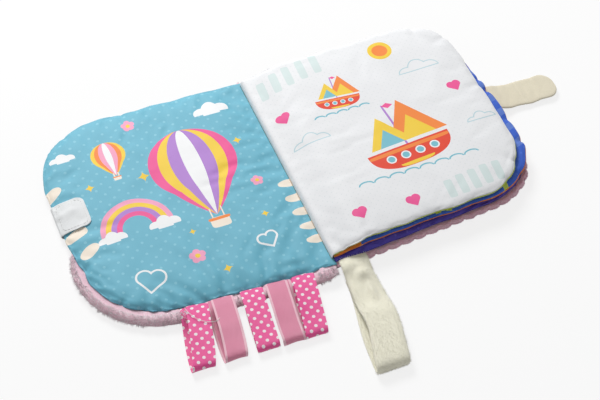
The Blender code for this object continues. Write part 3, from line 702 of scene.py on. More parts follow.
lime_rows = [(WHITE, -83, 2, 60, 66, 0, 3.0, NO_CUT), ("#c9da62", -83, 2, 57, 63, 0, 3.0, NO_CUT)]
for x, y, size, petals in (
    (-60, 30, 18, MAGENTA), (-110, 26, 14, WHITE), (-86, -22, 21, ORANGE), (-48, -36, 12, WHITE)
):
    lime_rows.append(("#5aa552", x, y - size * 1.2, size * 0.07, size * 0.9, 0, 6, NO_CUT))
    lime_rows += flower(x, y, size, petals, YELLOW)
lime_print = printed_polyester("printed polyester, lime page", LIME, lime_rows, [("#cfdd78", 9.0, 1.0)])

orange_rows = cloud(-120, 44, 24, CREAM, -0.4) + cloud(-46, -50, 20, CREAM, -0.4)
for radius, colour in ((34, YELLOW), (26, "#f6dd6a"), (17, CREAM)):
    orange_rows.append((colour, -84, 4, radius, radius, 22, 1.3, NO_CUT))
    orange_rows.append((colour, -84, 4, radius, radius, 67, 1.3, NO_CUT))
orange_print = printed_polyester(
    "printed polyester, orange page", DEEP_ORANGE, orange_rows, [("#e69a44", 11.0, 1.4)]
)

purple_rows = [(YELLOW, 84, 18, 27, 27, 0, 2, NO_CUT), (PURPLE, 96, 25, 23, 23, 0, 2, NO_CUT)]
for x, y, size in (
    (30, 50, 9), (132, 58, 7), (40, -30, 8), (122, -22, 10), (80, -52, 7), (146, 8, 5), (22, 8, 5)
):
    purple_rows.append((PINK, x, y, size, size, 0, 0.62, NO_CUT))
purple_rows += cloud(78, -34, 20, "#7d72d0", -0.4)
purple_print = printed_polyester(
    "printed polyester, purple page", PURPLE, purple_rows, [("#6156c0", 9.0, 0.9)]
)
print("shapes behind:", len(blue_rows), len(lime_rows), len(orange_rows), len(purple_rows))

# %% [markdown]
# ## Other finishes
# - Dimple plush is a knitted polyester pile about 1.5 mm long. It has no gloss, but its fibre tips catch
#   light at grazing angles, so it gets strong sheen and a streaky bump.
# - Fleece for the strap and tab is a shorter, matted pile: a felt-like bump and softer sheen.
# - Satin ribbon is ribbed across by its filling threads and shines softly. Its dots are printed.
# - Hook tape is a stiff nylon weave whose hooks show as a fine grain.
# - Wadding is loose white fibre, and the crackling film is thin clear polyester.

# %% Materials: plush, fleece, ribbon, tape, wadding and film
def pile(name, code, streak, depth, low, high, sheen, stretch=(1.0, 1.0, 1.0)):
    """A pile fabric: noise of that scale per metre as its height, with painted shade in its hollows and
    painted light on its crests.
    """
    material, tree = new_material(name)
    place = add(tree, "ShaderNodeTexCoord").outputs["Object"]
    drawn = add(tree, "ShaderNodeMapping", {"Vector": place, "Scale": stretch}).outputs[0]
    fibre = add(
        tree, "ShaderNodeTexNoise", {"Vector": drawn, "Scale": streak, "Detail": 4.0, "Roughness": 0.7}
    )
    ink = add(tree, "ShaderNodeRGB").outputs[0]
    ink.default_value = shade_of(code)
    # painted shade and light: the colour is darker in the bump's hollows and lighter on its crests
    painted_bump_shade = add(
        tree, "ShaderNodeMapRange",
        {"Value": fibre.outputs[0], "From Min": 0.3, "From Max": 0.7, "To Min": low, "To Max": high}
    )
    grey = add(tree, "ShaderNodeCombineColor", {k: painted_bump_shade.outputs[0] for k in ("Red", "Green", "Blue")})
    mixed = add(
        tree, "ShaderNodeMix", {"Factor": 1.0, "A": ink, "B": grey.outputs[0]}, data_type="RGBA",
        blend_type="MULTIPLY"
    )
    colour = varied(tree, place, mixed.outputs["Result"], 60.0, 0.94, 1.05)
    finish_material(
        tree, colour, fibre.outputs[0], depth, Roughness=0.95, Sheen_Weight=sheen, Sheen_Roughness=0.5,
        Specular_IOR_Level=0.2,
    )
    return material


def satin(name, code, dot=None, edge=None):
    """Ribbed ribbon with printed dots, or with a paler woven edge."""
    material, tree = new_material(name)
    place = add(tree, "ShaderNodeUVMap", uv_map="flat").outputs[0]
    in_mm = add(tree, "ShaderNodeVectorMath", {0: place, "Scale": 1 / MM}, operation="SCALE").outputs[0]
    colour = add(tree, "ShaderNodeRGB").outputs[0]
    colour.default_value = shade_of(code)
    if dot:
        values = {"Below": colour, "Colour": shade_of(dot), "Place": in_mm, "Pitch": 7.6, "Radius": 1.2}
        colour = add(tree, "ShaderNodeGroup", values, node_tree=DOTS).outputs[0]
    if edge:
        for side in (-1, 1):
            values = {"Below": colour, "Colour": shade_of(edge), "Place": in_mm,
                      "Centre": (side * 7.2, 60, 0),
                      "Half size": (0.8, 400, 1), "Exponent": 8.0, "Cut": NO_CUT}
            colour = add(tree, "ShaderNodeGroup", values, node_tree=SHAPE).outputs[0]
    colour = varied(tree, place, colour, 60.0, 0.93, 1.05)
    ribs = add(tree, "ShaderNodeTexWave", {"Vector": place, "Scale": 1 / (2 * 1.2 * MM)}, bands_direction="Y")
    finish_material(
        tree, colour, ribs.outputs[1], 0.12, Roughness=0.42, Sheen_Weight=0.25, Specular_IOR_Level=0.55,
        Anisotropic=0.4,
    )
    return material


dimple_plush = pile("dimple plush, pale pink", "#f7d0dd", 900.0, 0.45, 0.86, 1.06, 0.6)
pale_pile = pile("tips of the long pile, palest pink", "#faeaf0", 900.0, 0.1, 0.9, 1.05, 1.0)
# The back border's tips are the same plush drawn brighter and more saturated: painted light on its scallops,
# which lie in the leaves' shade.
pink_pile_brightened = pile("tips of the short pile, pink, with painted light", "#ffb4d2", 900.0, 0.1, 0.95, 1.08, 1.0)
cream_fleece = pile("short fleece, cream", "#fcf9e5", 1300.0, 0.15, 0.93, 1.03, 0.7)
pressed_fleece = pile("short fleece, pressed flat", "#e7dfc8", 1300.0, 0.1, 0.95, 1.02, 0.3)
hook_tape = pile("hook tape, white", "#eceeef", 1700.0, 0.12, 0.93, 1.03, 0.1)
thread_white = pile("sewing thread, white", "#e9e9e7", 3000.0, 0.05, 0.95, 1.0, 0.1)
wadding_fibre = pile("polyester wadding", "#f2f2f0", 260.0, 1.2, 0.88, 1.05, 0.4)
dotted_satin = satin("dotted ribbon, hot pink", "#f24c9a", dot="#fbeff3")
plain_satin = satin("plain ribbon, rose pink", "#e085a3", edge="#f1bccb")

crackle_film, film_tree = new_material("crackling film, clear polyester")
film_place = add(film_tree, "ShaderNodeTexCoord").outputs["Object"]
crumple = add(
    film_tree, "ShaderNodeTexVoronoi", {"Vector": film_place, "Scale": 120.0}, feature="DISTANCE_TO_EDGE"
)
film_colour = add(film_tree, "ShaderNodeRGB").outputs[0]
film_colour.default_value = shade_of("#e6edf1")
finish_material(film_tree, film_colour, crumple.outputs[0], 1.5, Roughness=0.18, IOR=1.57)
print(len(bpy.data.materials), "materials so far")

# %% [markdown]
# ## Padded pages: the shape before stuffing
# Each cover and leaf is sewn inside out, turned and filled, so its cloth rolls over at the seam and is
# puffy between. The solid gives the crowned height. The roll at the seam is a quarter ellipse. Where
# ribbons and corners pull at the seam, short gathers run inwards: each is a valley that starts on the
# seam at a share of the outline's length, and fades out as it goes in.

# %% Gathers and the roll at the seam
GATHERS = {
    "front_cover_lining": (
        # share of the outline, length, width, depth in mm, lean in degrees
        (0.022, 26, 3.0, 0.9, -6),
        (0.052, 34, 3.4, 1.3, 4),
        (0.083, 22, 2.6, 0.9, 10),
        (0.105, 44, 3.6, 1.2, 12),
        (0.140, 20, 2.6, 1.0, -12),
        (0.172, 26, 3.2, 1.3, 14),
        (0.198, 60, 4.2, 0.8, -46),
        (0.222, 17, 2.6, 1.2, 8),
        (0.246, 22, 3.0, 1.4, -10),
        (0.268, 16, 2.4, 1.1, 12),
        (0.292, 22, 3.0, 1.2, 0),
        (0.330, 16, 2.8, 0.8, 10),
        (0.420, 18, 2.6, 0.7, -14),
        (0.492, 16, 2.6, 0.7, 14),
        (0.700, 16, 3.0, 0.5, 0),
        (0.800, 18, 3.0, 0.5, 8),
    ),
    "leaf_a": (
        (0.018, 34, 3.4, 0.7, 20),
        (0.060, 22, 3.0, 0.5, -8),
        (0.300, 18, 3.0, 0.5, 6),
        (0.345, 22, 3.2, 0.6, -8),
        (0.520, 26, 3.2, 0.5, 10),
        (0.640, 20, 3.0, 0.5, -4),
        (0.700, 22, 3.0, 0.5, 8),
    ),
    "leaf_b": (
        (0.330, 12, 3.0, 0.8, -8),
        (0.405, 9, 2.4, 1.1, 10),
        (0.452, 14, 3.6, 0.7, -14),
        (0.520, 10, 2.6, 1.2, 4),
        (0.548, 8, 2.2, 0.8, 12),
        (0.610, 12, 3.0, 1.0, -6),
    ),
}


GATHER_SCALE, NOTCH_SCALE, NOTCH_REACH = 1.8, 1.3, 1.5


def gather_depth(name, flat):
    """How far in mm the gathers pull the cloth down, over a grid of (d, y)."""
    depth = np.zeros(flat.shape[:2])
    line = outlines[name]
    for share, length, width, deepest, lean in GATHERS.get(name, ()):
        k = min(max(int(share * len(line)), 2), len(line) - 3)
        along = line[k + 2] - line[k - 2]
        angle = math.atan2(along[1], along[0]) + math.pi / 2 + math.radians(lean)
        way = np.array([math.cos(angle), math.sin(angle)]) * length
        gap = flat - line[k]
        part = np.clip(gap @ way / length**2, 0, 1)
        off = np.linalg.norm(gap - part[..., None] * way, axis=2)
        spread = width * (0.6 + part)
        depth = np.maximum(depth, GATHER_SCALE * deepest * np.exp(-((off / spread) ** 2)) * (1 - part))
    return depth


def notch_depth(name, flat):
    """How far in mm the same gathers pull the seam itself inwards."""
    depth = np.zeros(flat.shape[:2])
    line = outlines[name]
    for share, _, width, deepest, _ in GATHERS.get(name, ()):
        k = min(max(int(share * len(line)), 2), len(line) - 3)
        near = np.linalg.norm(flat - line[k], axis=2) / (NOTCH_REACH * width)
        depth = np.maximum(depth, NOTCH_SCALE * deepest * np.exp(-(near**2)))
    return depth


# where a page starts to climb from the fold, and where it lies flat, in mm
ROOT_AT, FLAT_FROM = 0.6, 28.0


def rise(distance):
    """0 at the fold and 1 from where a page lies flat, as a smooth step."""
    share = np.clip((distance - ROOT_AT) / (FLAT_FROM - ROOT_AT), 0, 1)
    return share * share * (3 - 2 * share)


def page_heights(name, node, side, from_above, seam_root, seam_flat, roll, fuller):
    """Height in mm of one face of a padded page: the solid's crown, rolled over to its seam.
    The seam climbs from one height at the fold to another where the page lies flat."""
    flat = grids[name]
    inset = edge_distance(flat, outlines[name])
    crown = smoothed(solid_height(node, side, flat, from_above), 6)
    puff = fuller * np.exp(-(((inset - 12) / 8) ** 2)) * rise(flat[..., 0])
    crown = crown + (puff if from_above else -puff)
    seam = seam_root + (seam_flat - seam_root) * rise(flat[..., 0])
    turn = np.sqrt(1 - (1 - np.clip(inset / roll, 0, 1)) ** 2)
    return seam + (crown - seam) * turn


PAGE_SHAPES = {
    # piece: grid, side, faces up, seam height at the fold and where flat, roll, fuller by, all in mm
    "front_cover_lining": ("front_cover_lining", -1, True, 7.3, 5.3, 7.5, 0.5),
    "back_cover_lining": ("back_cover_lining", 1, True, 7.3, 5.6, 6.0, 0.2),
    "leaf_a_front_cloth": ("leaf_a", 1, True, 12.2, 18.8, 4.5, 0.0),
    "leaf_a_back_cloth": ("leaf_a", 1, False, 11.8, 18.4, 3.5, 0.0),
    "leaf_b_front_cloth": ("leaf_b", 1, True, 9.8, 13.1, 3.5, 0.0),
    "leaf_b_back_cloth": ("leaf_b", 1, False, 9.4, 12.7, 3.5, 0.0),
}
heights = {}
for node, (grid, side, faces_up, *shape) in PAGE_SHAPES.items():
    heights[node] = page_heights(grid, node, side, faces_up, *shape)
print({name: (round(field.min(), 1), round(field.max(), 1)) for name, field in heights.items()})

# %% [markdown]
# ## Padded pages: stuffing them with a cloth simulation
# A cloth simulation blows each pillow up a little: both cloths share the seam, the seam and the root are
# pinned, the cloth is slightly larger than its outline, gravity is off and a low pressure stands for the
# filling. That gives the fine puckers that a seam leaves. The stacked pages have almost no room to
# swell, so only the puckers are kept, up to a cap, and the broad shape stays that of the solid.

# %% Cloth simulation of a pillow
FRAMES, PRESSURE, SPARE_CLOTH, CLOTH_MASS, BENDING = 14, 8.0, 0.035, 0.05, 0.04
PUCKER_SHARE, PUCKER_DOWN, PUCKER_UP = 1.2, 0.6, 0.22
LEAF_SHARE = 0.35


def pillow_mesh(top, bottom):
    """A closed mesh of two grids that share their free edges, with the point numbers of both grids."""
    rows, columns = top.shape[:2]
    upper = np.arange(rows * columns).reshape(rows, columns)
    lower = np.full_like(upper, -1)
    lower[0, 1:], lower[-1, 1:], lower[:, -1] = upper[0, 1:], upper[-1, 1:], upper[:, -1]
    free = lower < 0
    lower[free] = upper.size + np.arange(free.sum())
    points = np.concatenate([top.reshape(-1, 3), bottom[free]])
    wall = np.stack([upper[:-1, 0], upper[1:, 0], lower[1:, 0], lower[:-1, 0]], -1)
    faces = np.concatenate([grid_faces(upper, False), grid_faces(lower, True), wall])
    return points, faces, upper, lower


def puckers(top, bottom, hold_bottom):
    """The fine part of the cloth's rise in mm, on the upper and the lower grid."""
    points, faces, upper, lower = pillow_mesh(top, bottom)
    mesh = bpy.data.meshes.new("pillow under pressure")
    mesh.from_pydata(points.tolist(), [], [tuple(int(k) for k in f) for f in faces])
    shell = bmesh.new()
    shell.from_mesh(mesh)
    bmesh.ops.recalc_face_normals(shell, faces=shell.faces)
    shell.to_mesh(mesh)
    shell.free()
    pillow = bpy.data.objects.new("pillow under pressure", mesh)
    bpy.context.collection.objects.link(pillow)
    held = np.r_[upper[0], upper[-1], upper[:, -1], upper[:, 0], lower[:, 0]]
    if hold_bottom:
        held = np.r_[held, lower.ravel()]
    pins = pillow.vertex_groups.new(name="pins")
    pins.add([int(k) for k in np.unique(held)], 1.0, "REPLACE")
    cloth = pillow.modifiers.new("cloth", "CLOTH")
    facts = cloth.settings
    facts.quality, facts.mass = 5, CLOTH_MASS
    facts.tension_stiffness = facts.compression_stiffness = 15
    facts.shear_stiffness, facts.bending_stiffness = 5, BENDING
    facts.use_pressure, facts.uniform_pressure_force = True, PRESSURE
    facts.vertex_group_mass, facts.shrink_min = "pins", -SPARE_CLOTH
    facts.effector_weights.gravity = 0
    cloth.collision_settings.use_collision = False
    cloth.point_cache.frame_start, cloth.point_cache.frame_end = 1, FRAMES
    for number in range(1, FRAMES + 1):
        bpy.context.scene.frame_set(number)
    blown = pillow.evaluated_get(bpy.context.evaluated_depsgraph_get()).to_mesh()
    after = np.array([v.co[:] for v in blown.vertices])
    bpy.data.objects.remove(pillow)
    bpy.context.scene.frame_set(1)
    fine = []
    for index, before, outward in ((upper, top, 1.0), (lower, bottom, -1.0)):
        rise = outward * (after[index] - before)[..., 2] / MM
        part = (rise - smoothed(rise, 10)) * PUCKER_SHARE
        fine.append(outward * np.clip(part, -PUCKER_DOWN, PUCKER_UP))
    return fine


def stuffed(name, side, top, bottom, hold_bottom):
    flat = grids[name]
    fine = puckers(to_world(side, flat, top), to_world(side, flat, bottom), hold_bottom)
    print(name, "puckers", [round(float(field.std()), 3) for field in fine], "mm rms")
    return fine


for name, plush, side in (
    ("front_cover_lining", "front_cover_plush", -1),
    ("back_cover_lining", "back_cover_plush", 1),
):
    floor = np.minimum(solid_height(plush, side, grids[name], False), heights[name])
    heights[name] = heights[name] + stuffed(name, side, heights[name], floor, True)[0]
for name in ("leaf_a", "leaf_b"):
    front, back = name + "_front_cloth", name + "_back_cloth"
    fine_front, fine_back = stuffed(name, 1, heights[front], heights[back], False)
    heights[front] = heights[front] + LEAF_SHARE * fine_front
    heights[back] = heights[back] + LEAF_SHARE * fine_back

# %% [markdown]
# ## Padded pages: gathers and lumps
# The gathers and the lumps between them are narrower than the cells of the simulated grid, so each grid
# first gets a point between every two neighbours, on a smooth curve. Then the gathers are pressed in,
# slow hollows are laid between the fuller places, and the edge is moved: drawn in where a gather holds
# it, and pushed out where the teal page was filled so full that it hangs over the plush.

# %% Finer grids
def finer(field):
    """A grid with a point added between each two neighbours, on a smooth curve through them."""
    for axis in (0, 1):
        field = np.moveaxis(field, axis, 0)
        between = (field[:-1] + field[1:]) / 2
        between[1:-1] = (9 * (field[1:-2] + field[2:-1]) - field[:-3] - field[3:]) / 16
        woven = np.empty((2 * len(field) - 1, *field.shape[1:]))
        woven[::2], woven[1::2] = field, between
        field = np.moveaxis(woven, 0, axis)
    return field


SWELL_DEPTH = {"front_cover_lining": 0.6, "back_cover_lining": 0.4, "leaf_a": 0.35, "leaf_b": 0.35}
SWELL_LENGTH, LEAF_LEAST = 34.0, 1.25


def swell(name, seed):
    """Slow hollows between the fuller places of a filled page, in mm."""
    flat = grids[name]
    cloud = [noise.noise(Vector((d / SWELL_LENGTH, y / SWELL_LENGTH, seed))) for d, y in flat.reshape(-1, 2)]
    inset = edge_distance(flat, outlines[name])
    return SWELL_DEPTH[name] * np.abs(np.array(cloud).reshape(flat.shape[:2])) * 2 * np.clip(inset / 8, 0, 1)


grids = {name: finer(grid) for name, grid in grids.items()}
for node, (grid, *_) in PAGE_SHAPES.items():
    heights[node] = finer(heights[node])
    if "back_cloth" not in node:
        heights[node] -= gather_depth(grid, grids[grid]) + swell(grid, 2.0 if grid == "leaf_a" else 5.0)
    else:
        heights[node] = np.minimum(heights[node], heights[node.replace("back", "front")] - LEAF_LEAST)
print({name: grid.shape[:2] for name, grid in grids.items()})

# %% Lumps of the page edges
MOVE_FADE, DISTANCE_FADE = 14.0, 20.0
EDGE_MOVES = {
    # out by in mm, from this distance on, between these places up the page, and how gently, in mm
    "front_cover_lining": ((3.0, 12, -12, 300, 20), (-1.8, 115, -300, -32, 18)),
    "leaf_a": ((-2.6, 142, -300, -48, 18),),
    "leaf_b": ((2.6, 140, -16, 34, 14),),
}
EDGE_WAVE = {"front_cover_lining": 0.9, "leaf_a": 1.3, "leaf_b": 1.0, "back_cover_lining": 0.6}
EDGE_WAVE_LENGTH, EDGE_WAVE_FADE = 13.0, 12.0


def smooth_step(values, start, end):
    """0 before start and 1 after end, smooth between."""
    share = np.clip((values - start) / (end - start), 0, 1)
    return share * share * (3 - 2 * share)


def outward_at(points, line):
    """For each (d, y): the direction out of the nearest place on an outline."""
    step = np.gradient(line, axis=0)
    out = np.stack([step[:, 1], -step[:, 0]], 1)
    out /= np.linalg.norm(out, axis=1)[:, None]
    nearest = np.array([int(np.argmin(((line - p) ** 2).sum(1))) for p in points])
    return out[nearest]


places = {}
for name, grid in grids.items():
    points = grid.reshape(-1, 2)
    inset = edge_distance(grid, outlines[name]).reshape(-1)
    wave = np.array([noise.noise(Vector((*p, 11.0)) / EDGE_WAVE_LENGTH) for p in points])
    wave *= np.clip(1 - inset / EDGE_WAVE_FADE, 0, 1) * np.clip(points[:, 0] / 20, 0, 1)
    amount = EDGE_WAVE[name] * wave - notch_depth(name, grid).reshape(-1)
    for out_by, start, low, high, fade in EDGE_MOVES.get(name, ()):
        part = smooth_step(points[:, 0], start - DISTANCE_FADE, start + DISTANCE_FADE)
        part *= smooth_step(points[:, 1], low - fade, low + fade)
        part *= 1 - smooth_step(points[:, 1], high - fade, high + fade)
        amount += out_by * part * np.clip(1 - inset / MOVE_FADE, 0, 1)
    places[name] = (points + outward_at(points, outlines[name]) * amount[:, None]).reshape(grid.shape)
    print(name, "edge moved by", round(float(amount.min()), 1), "to", round(float(amount.max()), 1), "mm")

# %% [markdown]
# ## Padded pages: the printed cloths
# The six printed cloths are sheets 0.6 mm thick. Each is its own piece in the place of its solid, and
# takes its print through the flat UV map. A print on the back of a leaf is laid out for a reader who has
# turned that leaf over, so its map runs the other way. The covers' cloths ride with their covers, and the
# leaves' cloths stay fixed where they lie.

# %% The printed cloths
PAGE_CLOTH = 0.6
ROOT_FLAPS = {
    # (d, height) in mm of the cloth beyond the root, where a page turns down into the fold
    "front_cover_lining": ((-0.9, 6.9), (-0.2, 7.5)),
    "leaf_a_front_cloth": ((-1.5, 8.3), (-1.1, 9.6), (-0.5, 11.3)),
}
PAGES = (
    # piece, grid, side, faces up, material, record slot, body it hangs from, body it turns with
    ("front_cover_lining", "front_cover_lining", -1, True, teal_print, "teal_print", None, "front_cover"),
    ("back_cover_lining", "back_cover_lining", 1, True, purple_print, "purple_print", None, "back_cover"),
    ("leaf_a_front_cloth", "leaf_a", 1, True, white_print, "white_print", "leaf_b", "leaf_a"),
    ("leaf_a_back_cloth", "leaf_a", 1, False, lime_print, "lime_print", "leaf_b", "leaf_a"),
    ("leaf_b_front_cloth", "leaf_b", 1, True, blue_print, "blue_print", "back_cover", "leaf_b"),
    ("leaf_b_back_cloth", "leaf_b", 1, False, orange_print, "orange_print", "back_cover", "leaf_b"),
)


def carry(piece, hangs_from, turns_with):
    """Rides on the body it turns with, or, if it hangs from another body, stays fixed where it lies."""
    if hangs_from is None:
        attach(piece, turns_with)
    else:
        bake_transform(piece)


for node, grid, side, faces_up, material, slot, hangs_from, turns_with in PAGES:
    flat = grids[grid]
    place, height = places[grid], heights[node]
    for d, up in ROOT_FLAPS.get(node, ())[::-1]:
        column = np.stack([np.full(len(flat), d), flat[:, 0, 1]], -1)[:, None]
        flat, place = np.concatenate([column, flat], 1), np.concatenate([column, place], 1)
        height = np.concatenate([np.full((len(flat), 1), up), height], 1)
    points = to_world(side, place, height).reshape(-1, 3)
    uv = flat.reshape(-1, 2) * MM * ((side if faces_up else -side), 1)
    index = np.arange(len(points)).reshape(flat.shape[:2])
    piece = new_piece(node + "_cloth", points, grid_faces(index, faces_up != (side > 0)), material, uv)
    wall = piece.modifiers.new("thickness", "SOLIDIFY")
    wall.thickness, wall.offset, wall.use_rim = PAGE_CLOTH * MM, -1.0, True
    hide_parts(node)
    carry(piece, hangs_from, turns_with)
    print(piece.name, len(points), "points")

# %% [markdown]
# ## Filling
# Inside each cover and leaf lie a pad of wadding and the sheet of film that crackles. They don't show
# in the closed pillow, but they are real layers, so each gets the form of its solid with a soft or
# crumpled face instead of flat facets.

# %% Wadding and film
FILLINGS = (
    ("front_cover_wadding", -1, "front_cover", "front_cover_lining"),
    ("front_cover_crinkle_film", -1, "front_cover", "front_cover_lining"),
    ("back_cover_wadding", 1, "back_cover", "back_cover_lining"),
    ("back_cover_crinkle_film", 1, "back_cover", "back_cover_lining"),
    ("leaf_a_wadding", 1, "leaf_a", "leaf_a"),
    ("leaf_a_crinkle_film", 1, "leaf_a", "leaf_a"),
    ("leaf_b_wadding", 1, "leaf_b", "leaf_b"),
    ("leaf_b_crinkle_film", 1, "leaf_b", "leaf_b"),
)
CRUMPLE, UNDER_FILM, UNDER_WADDING = 0.05, 1.2, 1.4


def page_surface(name, node):
    """One cloth as a surface to cast rays at, with (d, y, height) in mm as its axes."""
    points = [Vector((*p, h)) for p, h in zip(places[name].reshape(-1, 2), heights[node].ravel())]
    faces = grid_faces(np.arange(len(points)).reshape(heights[node].shape), False)
    return BVHTree.FromPolygons(points, [tuple(int(k) for k in f) for f in faces])


def height_on(surface, d, y):
    """Height in mm of a page's surface at (d, y), or None beyond its edge."""
    hit = surface.ray_cast(Vector((d, y, 50.0)), Vector((0, 0, -1)))[0]
    return hit.z if hit else None


def closed_slab(top, bottom):
    """Points and faces of a closed slab between two grids."""
    rows, columns = top.shape[:2]
    upper = np.arange(rows * columns).reshape(rows, columns)
    lower = upper + upper.size
    border = np.r_[upper[0, :-1], upper[:-1, -1], upper[-1, :0:-1], upper[:0:-1, 0]]
    ahead = np.roll(border, -1)
    wall = np.stack([border + upper.size, ahead + upper.size, ahead, border], -1)
    faces = np.concatenate([grid_faces(upper, False), grid_faces(lower, True), wall])
    return np.concatenate([top.reshape(-1, 3), bottom.reshape(-1, 3)]), faces


for node, side, body, page in FILLINGS:
    is_film = "film" in node
    flat = coons(outline_of(node, side), np.linspace(0, 1, 41), np.linspace(0, 1, 45))
    cloth = page_surface(page, page if page in heights else page + "_front_cloth")
    top = smoothed(solid_height(node, side, flat, True), 3)
    bottom = smoothed(solid_height(node, side, flat, False), 3)
    if is_film:
        wave = np.array([noise.noise(Vector((*p, 7.0)) * 0.22) for p in flat.reshape(-1, 2)])
        crumpled = wave.reshape(top.shape) * CRUMPLE
        top, bottom = top + crumpled, bottom + crumpled
    room = np.array([height_on(cloth, d, y) or 1e3 for d, y in flat.reshape(-1, 2)]).reshape(top.shape)
    top = np.minimum(top, room - (UNDER_FILM if is_film else UNDER_WADDING))
    bottom = np.minimum(bottom, top - 0.1)
    points, faces = closed_slab(to_world(side, flat, top), to_world(side, flat, bottom))
    if side < 0:
        faces = faces[:, ::-1]
    piece = new_piece(node + "_layer", points, faces, crackle_film if is_film else wadding_fibre)
    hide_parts(node)
    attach(piece, body)
print("fillings", len(FILLINGS))

# %% [markdown]
# ## Dimple plush
# The outer panel of each cover is one piece of dimple plush, a pile fabric with raised round dots set
# like honeycomb about 10 mm apart. It wraps the wadding from underneath and shows as a fat pink border
# round the page. It is built as a fine grid over the underside, plus rings that climb round the edge and
# tuck under the lining. The rule of the dots moves the points: underneath, the cloth between dots is
# drawn in, and round the edge the same dots make scallops.

# %% Covers of dimple plush
DIMPLE_PITCH, DIMPLE_RADIUS, DIMPLE_DEPTH = 10.4, 4.4, 1.2
PLUSH_CELL, PLUSH_CLOTH = 1.5, 0.8
RIM_REACH, RIM_MIDDLE_SHARE = 4.0, 0.5
RIM_TOP, SEAM_HEIGHT, ROOT_TOP, ROOT_BOTTOM, RAMP_END = 6.2, 4.6, 6.8, 5.2, 16.0
RING_INSETS = (0.2, 0.7, 1.4, 2.2, 3.0, 3.9, 4.9, 6.0, 7.2, 8.6)

HIDDEN_DEPTH, FIBRE_BAND = 5.5, 5.0


def dimple(x, y):
    """1 on the middle of a raised dot, 0 between dots, at positions in mm."""
    best = np.full(np.shape(x), 1e9)
    row = DIMPLE_PITCH * math.sqrt(3)
    for shift_x, shift_y in ((0.0, 0.0), (DIMPLE_PITCH / 2, row / 2)):
        dx = (x - shift_x + DIMPLE_PITCH / 2) % DIMPLE_PITCH - DIMPLE_PITCH / 2
        dy = (y - shift_y + row / 2) % row - row / 2
        best = np.minimum(best, dx**2 + dy**2)
    return np.clip(1 - best / DIMPLE_RADIUS**2, 0, 1) ** 0.6


def rim_profile(distance, inset, upper):
    """Height of the plush at a distance from the fold and an inset from its edge."""
    sloped = 1 - np.clip((distance - 0.6) / (RAMP_END - 0.6), 0, 1)
    bottom = ROOT_BOTTOM * sloped
    top = RIM_TOP + (ROOT_TOP - RIM_TOP) * sloped
    middle = bottom + (top - bottom) * RIM_MIDDLE_SHARE
    round_off = np.sqrt(1 - (1 - np.clip(inset / RIM_REACH, 0, 1)) ** 2)
    return middle + ((top if upper else bottom) - middle) * round_off


def plush_cover(name, side, lining, scallop_depth, fuller, hidden_from, hidden_to):
    """Points and faces of one cover's outer panel. Above hidden_to its edge is drawn in under the page."""
    line = outlines[name]
    across = int(line[:, 0].max() / PLUSH_CELL)
    along = int(np.ptp(line[:, 1]) / PLUSH_CELL)
    flat = coons(line, np.linspace(0, 1, across + 1), np.linspace(0, 1, along + 1))
    index = np.arange(flat[..., 0].size).reshape(flat.shape[:2])
    border = np.r_[index[0, :-1], index[:-1, -1], index[-1, ::-1]]
    edge = flat.reshape(-1, 2)[border]
    step = np.gradient(edge, axis=0)
    inward = np.stack([-step[:, 1], step[:, 0]], 1)
    inward /= np.linalg.norm(inward, axis=1)[:, None]
    travel = np.r_[0, np.cumsum(np.linalg.norm(np.diff(edge, axis=0), axis=1))]
    count = round(travel[-1] / DIMPLE_PITCH)
    part = (count * travel / travel[-1]) % 1
    scallop = np.sqrt(np.clip(1 - (2 * part - 1) ** 2, 0, 1))
    wander = np.array([noise.noise(Vector((t * 0.045, 3.0 * side, 0.0))) for t in travel])
    drawn_in = scallop_depth * (1 - scallop) + 0.9 * np.abs(wander)
    hidden = smooth_step(edge[:, 1], hidden_from, hidden_to)
    drawn_in += HIDDEN_DEPTH * hidden - fuller * (1 - hidden)
    drawn_in *= np.clip(edge[:, 0] / 8, 0, 1)
    margin = edge_distance(edge[None], outlines[lining])[0]

    inset = edge_distance(flat, line).reshape(-1)
    places = flat.reshape(-1, 2).copy()
    near = np.where(inset < 2 * RIM_REACH)[0]
    nearest = np.array([np.argmin(((edge - places[k]) ** 2).sum(1)) for k in near])
    fade = 1 - inset[near] / (2 * RIM_REACH)
    places[near] += inward[nearest] * (drawn_in[nearest] * fade)[:, None]
    recess = DIMPLE_DEPTH * (1 - dimple(places[:, 0], places[:, 1])) * np.clip((inset - 2) / 5, 0, 1)
    under = rim_profile(places[:, 0], inset, False) + recess

    points = [to_world(side, places, under)]
    rows = [border]
    open_air = [inset < FIBRE_BAND]
    total = len(places)
    for k, reach in enumerate(RING_INSETS):
        share = 1 - reach / (2 * RIM_REACH)
        ring = edge + inward * (reach + drawn_in * max(share, 0))[:, None]
        ring[:, 0] = np.maximum(ring[:, 0], edge[:, 0].min())
        up = rim_profile(ring[:, 0], np.full(len(ring), reach), True) - 0.5 * (1 - scallop) * max(share, 0)
        near_seam = 1 - np.clip((margin - reach) / 2.5, 0, 1)
        up -= (RIM_TOP - SEAM_HEIGHT) * near_seam * np.clip(ring[:, 0] / 30, 0, 1)
        points.append(to_world(side, ring, up))
        open_air.append((reach < margin - 0.3) & (hidden < 0.5))
        rows.append(total + np.arange(len(ring)))
        total += len(ring)
    points = np.concatenate(points)
    faces = np.concatenate([grid_faces(index, True), grid_faces(np.stack(rows), False)])
    if side < 0:
        faces = faces[:, ::-1]
    fuzz = np.array([noise.noise_vector(Vector(p) * 700) for p in points]) * 0.16 * MM
    fuzz[:, 2] = np.abs(fuzz[:, 2])
    return points + fuzz, faces, np.concatenate(open_air)


